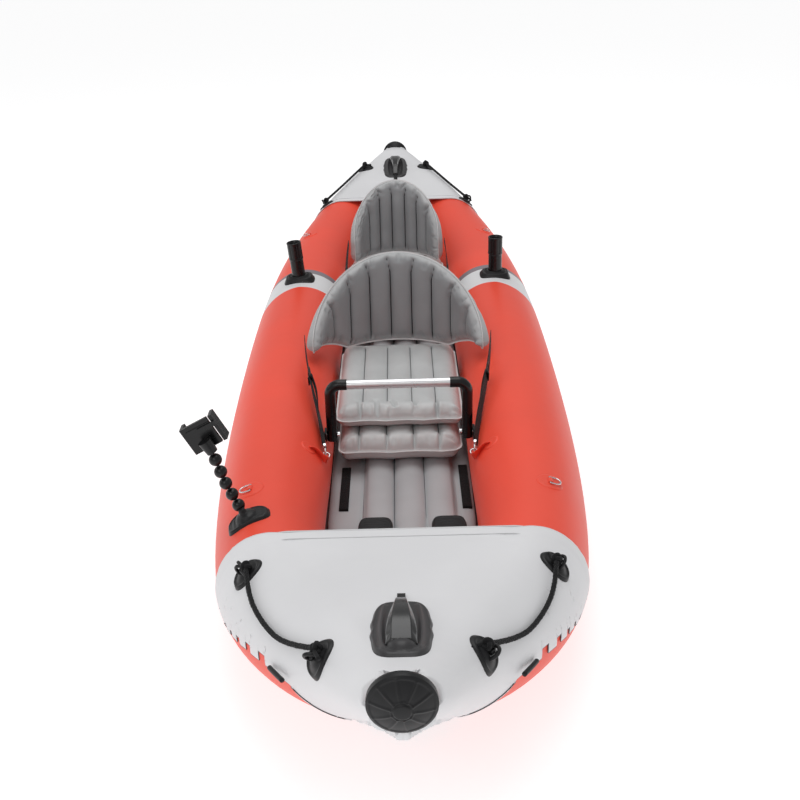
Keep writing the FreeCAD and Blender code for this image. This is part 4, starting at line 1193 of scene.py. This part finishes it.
def rod_set(side_name, trees, finishes):
    """Moulded base and the open tube that stands in it."""
    side = SIDES[side_name]
    tilt = math.radians(5.0 if side < 0 else 0.0)
    axis = Vector((side * math.sin(tilt), 0, math.cos(tilt))).normalized()
    base = Vector((side * SLEEVE_X, SLEEVE_Y, 0.291))

    def height(share, u, v, ground):
        slope = rise(0.66, 1.0, share)
        ring = 0.0050 * fall(0.20, 0.26, share) + 0.0035 * ridge(share - 0.36, 0.05)
        return max((0.0092 + ring) * (1 - slope) + (ground + 0.004) * slope, ground + 0.003)

    def flutes(radius, height, angle):
        fluted = radius > 0.0225 and 0.078 < height < 0.1285
        return -0.0016 * max(0.0, math.cos(6 * angle)) ** 6 if fluted else 0.0

    tree = trees[side_name + "_chamber"]
    socket = moulded(base, axis, (0, 1, 0), barrel(0.0515, 0.0425, 3.6), height, tree, 40, 104, hole=0.0236,
                     skirt=0.004)
    add_piece(side_name + "_rod_base", socket, finishes["rubber"], "black_rubber",
              replaces=[side_name + "_rod_socket"])
    profile = [(0.0215, -0.1995), (0.0228, -0.198), (0.0228, -0.05), (0.0228, 0.0), (0.0226, 0.03),
               (0.0226, 0.066), (0.0226, 0.0695), (0.0244, 0.0715), (0.0244, 0.075), (0.0240, 0.0785),
               (0.0240, 0.080)]
    profile += [(0.0240, z) for z in np.linspace(0.082, 0.124, 16)]
    profile += [(0.0246, 0.1255), (0.0246, 0.1288), (0.0236, 0.1299), (0.0214, 0.1299), (0.0203, 0.1290),
                (0.0201, 0.110), (0.0200, 0.0), (0.0200, -0.1915), (0.0195, -0.192)]
    tube = lathe(profile, 96, base, axis, flutes)
    holder = side_name + "_rod_holder"
    add_piece(side_name + "_rod_tube", tube, finishes["plastic"], "black_plastic", holder, [holder])


# ---------------------------------------------------------------- straps
def ribbon(line, width, thick, twist=0.0, lean=0.0):
    """Flat webbing along a line, on edge."""
    section = ((-1, -0.8), (-0.94, -1), (0.94, -1), (1, -0.8), (1, 0.8), (0.94, 1), (-0.94, 1), (-1, 0.8))
    points = []
    count = len(line)
    for i, p in enumerate(line):
        ahead = (line[min(i + 1, count - 1)] - line[max(i - 1, 0)]).normalized()
        flat = ahead.cross(UP).normalized()
        up = flat.cross(ahead).normalized()
        angle = lean * i / (count - 1) + twist * math.sin(math.pi * i / (count - 1))
        wide = up * math.cos(angle) + flat * math.sin(angle)
        deep = flat * math.cos(angle) - up * math.sin(angle)
        points += [p + wide * a * width / 2 + deep * b * thick / 2 for a, b in section]
    return points, pipe_faces(count, len(section))


def buckle(at, ahead, side):
    """Ladder-lock buckle: frame, two bars and a tongue."""
    flat = ahead.cross(UP).normalized()
    up = flat.cross(ahead).normalized()
    frame_line = []
    for i in range(40):
        angle = 2 * math.pi * i / 40
        radius = barrel(0.0165, 0.0215, 5)(angle)
        frame_line.append(at + up * math.cos(angle) * radius + ahead * math.sin(angle) * radius)
    parts = [tube_mesh(frame_line, 0.0027, 8, closed=True)]
    for v in (-0.008, 0.004):
        bar = [at + ahead * v + up * u + flat * 0.0022 * math.cos(u * 90)
               for u in np.linspace(-0.0155, 0.0155, 9)]
        parts.append(tube_mesh(bar, 0.0024, 8))
    tongue = [at + ahead * (0.010 + 0.012 * t) + flat * (-side * 0.004 * t) for t in (0, 0.5, 1, 1.5)]
    return parts + [ribbon(tongue, 0.026, 0.0035)]


def strap_set(seat, route, finishes):
    """Webbing, buckles and tails on both sides of a seat."""
    webs, buckles = [], []
    for side in (-1, 1):
        stops = [Vector((side * x, y, z)) for x, y, z in route]
        line = []
        for a, b in zip(stops[:-1], stops[1:]):
            count = max(6, round((b - a).length / 0.02))
            line += [a.lerp(b, i / count) for i in range(count)]
        line.append(stops[-1])
        total = len(line) - 1
        for i in range(total + 1):
            t = math.pi * i / total
            line[i] = line[i] + Vector((side * 0.003 * math.sin(2 * t), 0, -0.006 * math.sin(t)))
        start = int(total * 0.4)
        tail = [p + Vector((-side * (0.005 + 0.004 * math.sin(0.5 * i)), 0, -0.002 - 0.0012 * i))
                for i, p in enumerate(line[start:total - 2])]
        webs += [ribbon(line, 0.0215, 0.0020, 0.12, 0.50), ribbon(tail, 0.019, 0.0018, -0.3, 0.40)]
        buckles += buckle(line[start], (line[start + 1] - line[start - 1]).normalized(), side)
    for name, parts, finish, slot, node in (
            ("_webbing", webs, "webbing", "webbing_black", seat + "_straps"),
            ("_buckles", buckles, "plastic", "black_plastic", "strap_buckles")):
        made = add_piece(seat + name, joined(parts), finishes[finish], slot, None, [node])
        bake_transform(made)


def strap_anchors(trees, finishes):
    """Steel ring past each hook, held on the chamber by a red tab and a round patch."""
    def height(share, u, v, ground):
        return ground + 0.0021 * fall(0.92, 1.0, share)

    rings, tabs = [], []
    for route in (FRONT_STRAP, REAR_STRAP):
        for side_name, side in SIDES.items():
            tree = trees[side_name + "_chamber"]
            start, end = (Vector((side * x, y, z)) for x, y, z in route[-2:])
            ahead = (end - start).normalized()
            centre = end + ahead * 0.0288
            axis = UP.cross(ahead).cross(ahead).normalized()
            across = axis.cross(ahead).normalized()
            loop = [centre + (ahead * math.cos(a) + across * math.sin(a)) * 0.009
                    for a in np.linspace(0, 2 * math.pi, 49)[:-1]]
            rings.append(tube_mesh(loop, 0.00175, 10, closed=True))
            seat, normal, _, _ = tree.find_nearest(Vector((side * 0.26, centre.y - 0.026, centre.z)))
            normal = normal if normal.x * side < 0 else -normal
            grip = centre + ahead * 0.0085
            tab = [grip - axis * 0.002, grip + ahead * 0.006 + normal * 0.001,
                   grip.lerp(seat, 0.55) + normal * 0.0035, seat + normal * 0.0032]
            patch = moulded(seat, normal, (0, 1, 0), barrel(0.0215, 0.0215, 2.0), height, tree, 12, 48)
            tabs += [ribbon(smoothed(tab), 0.019, 0.0024, 0.0, 1.2 * side), patch]
    add_piece("strap_anchor_rings", joined(rings), finishes["steel"], "steel_wire", replaces=["strap_anchors"])
    add_piece("strap_anchor_tabs", joined(tabs), finishes["red_plain"], "red_pvc")


# ---------------------------------------------------------------- fittings
def foot_pads(finish):
    """Ribbed rubber pads on the floor, one for each foot of the front sitter."""
    def height(share, u, v, ground):
        ribs = 0.0010 * (0.5 + 0.5 * math.cos(v * 2 * math.pi / 0.011)) * fall(0.80, 0.86, share)
        return 0.0062 * fall(0.95, 1.0, share) + ribs + 0.0012 * ridge(share - 0.90, 0.03)

    low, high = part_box("foot_pads")
    for side_name, x in (("left", low.x + 0.0435), ("right", high.x - 0.0435)):
        centre = (x, (low.y + high.y) / 2, high.z - 0.0062)
        pad = moulded(centre, UP, (0, 1, 0), barrel(0.0433, 0.1018, 5.5), height, None, 40, 96, skirt=0.018)
        add_piece(side_name + "_foot_pad", pad, finish, "black_rubber",
                  replaces=["foot_pads"] if side_name == "left" else ())


def touch_tapes(finish):
    """Two strips of hook-and-loop tape with a pile."""
    low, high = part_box("hook_loop_strips")
    columns, rows, wide, deep = 19, 100, 0.024, 0.0065
    parts = []
    for x0, x1 in ((low.x, low.x + wide), (high.x - wide, high.x)):
        draw = random.Random(3)
        points = []
        for y in np.linspace(low.y, high.y, rows):
            for x in np.linspace(x0, x1, columns):
                edge = min(x - x0, x1 - x, y - low.y, high.y - y)
                pile = 0.0006 * draw.random() if edge > 0.001 else 0.0
                points.append((x, y, high.z - 0.0012 + pile + 0.0010 * min(edge / 0.002, 1)))
        faces = grid_faces(rows, columns)
        rim = grid_rim(rows, columns)
        foot = len(points)
        points += [(points[a][0], points[a][1], high.z - deep) for a in rim]
        for k, a in enumerate(rim):
            q = (k + 1) % len(rim)
            faces.append((a, foot + k, foot + q, rim[q]))
        faces.append(tuple(foot + k for k in range(len(rim)))[::-1])
        parts.append((points, faces))
    add_piece("touch_tapes", joined(parts), finish, "hook_loop", replaces=["hook_loop_strips"])


def ring_patches(trees, finish):
    """Round patch and the sleeve that holds each D-ring."""
    def height(share, u, v, ground):
        return ground + 0.0022 * fall(0.92, 1.0, share) + 0.0005 * ridge(share - 0.84, 0.03)

    parts = []
    for end_name in ENDS:
        for side_name, side in SIDES.items():
            low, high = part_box(end_name + "_" + side_name + "_d_ring")
            x = (high.x if side < 0 else low.x) + side * 0.002
            y = (low.y + high.y) / 2
            tree = trees[side_name + "_chamber"]
            place, _ = drop_on(tree, x, y)
            normal = smooth_normal(tree, x, y)
            parts.append(moulded(place, normal, (0, 1, 0), barrel(0.031, 0.031, 2.0), height, tree, 16, 56))
            across = Vector((0, 1, 0)).cross(normal).normalized()
            sleeve = []
            for v in np.linspace(-0.0080, 0.0080, 9):
                for angle in np.linspace(0, math.pi, 16):
                    sleeve.append(place + Vector((0, v, 0)) + across * math.cos(angle) * 0.0062
                                  + normal * (0.0012 + math.sin(angle) * 0.0072))
            parts.append((sleeve, pipe_faces(9, 16)))
    add_piece("ring_patches", joined(parts), finish, "red_pvc", replaces=["d_ring_patches"])


def dress_cad(finishes):
    """Finishes of the CAD nodes that stay in view."""
    looks = {
        "aluminium": ["accessory_bar"],
        "steel": ["bar_pivot_bolts", "snap_hooks"]
                 + [end + "_" + side + "_d_ring" for end in ENDS for side in SIDES],
        "rubber": ["bar_brackets"],
        "plastic": ["left_bar_elbow", "right_bar_elbow", "fin_base", "phone_clamp_body", "phone_clamp_jaw"]
                   + ["phone_arm_link_%d" % i for i in range(1, 6)],
        "valve": ["chamber_valves", "floor_valve", "left_valve_cap", "right_valve_cap", "floor_valve_cap"],
    }
    for look, nodes in looks.items():
        for node in nodes:
            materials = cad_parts[node].data.materials
            materials.clear()
            materials.append(finishes[look])


# ---------------------------------------------------------------- everything
make_camera()
finishes = make_finishes()
for end_name in ENDS:
    for side_name in SIDES:
        grab_line(end_name, side_name, finishes["rope"])
make_stage()
trees = {side_name + "_chamber": cad_surface(side_name + "_air_chamber") for side_name in SIDES}
for side_name in SIDES:
    chamber(side_name, finishes["red"])
    rod_set(side_name, trees, finishes)
bottom(finishes["bottom"])
floor_pad(finishes["floor"])
for end_name in ENDS:
    trees[end_name + "_deck"] = surface(deck_cover(end_name, finishes["deck"]).data)
    deck_extras(end_name, finishes)
    nose_cap(end_name, finishes["rubber"])
    carry_handle(end_name, trees, finishes)
    grab_patch(end_name, trees, finishes["rubber"])
ring_patches(trees, finishes["red_plain"])
phone_base(trees, finishes["rubber"])
for part, kind in (("_seat_booster", BOOSTER), ("_seat_pad", SEAT_PAD)):
    for seat, shift in (("front", 0.0), ("rear", SEAT_SHIFT)):
        cushion(seat + part, kind, finishes["pad"], shift)
backrest("front_backrest", finishes["back"],
         half_wide=0.268, deep=0.264, thick=0.052, spring=0.275, arch=0.230,
         low_edge=[(0, 0.238), (0.170, 0.238), (0.200, 0.257), (0.235, 0.276), (0.262, 0.288), (0.4, 0.296)],
         weld_lines=[(0.033, 0.020), (0.100, 0.022), (0.170, 0.034), (0.246, 0.044)],
         offset=0.013, shift=0.0, puckers=46, seed=3)
backrest("rear_backrest", finishes["back"],
         half_wide=0.175, deep=0.173, thick=0.046, spring=0.325, arch=0.182,
         low_edge=[(0, 0.238), (0.130, 0.238), (0.4, 0.262)],
         weld_lines=[(0.026, 0.016), (0.076, 0.020), (0.128, 0.032)],
         offset=0.010, shift=SEAT_SHIFT, puckers=50, seed=8)
strap_set("front", FRONT_STRAP, finishes)
strap_set("rear", REAR_STRAP, finishes)
strap_anchors(trees, finishes)
foot_pads(finishes["rubber"])
touch_tapes(finishes["pile"])
dress_cad(finishes)
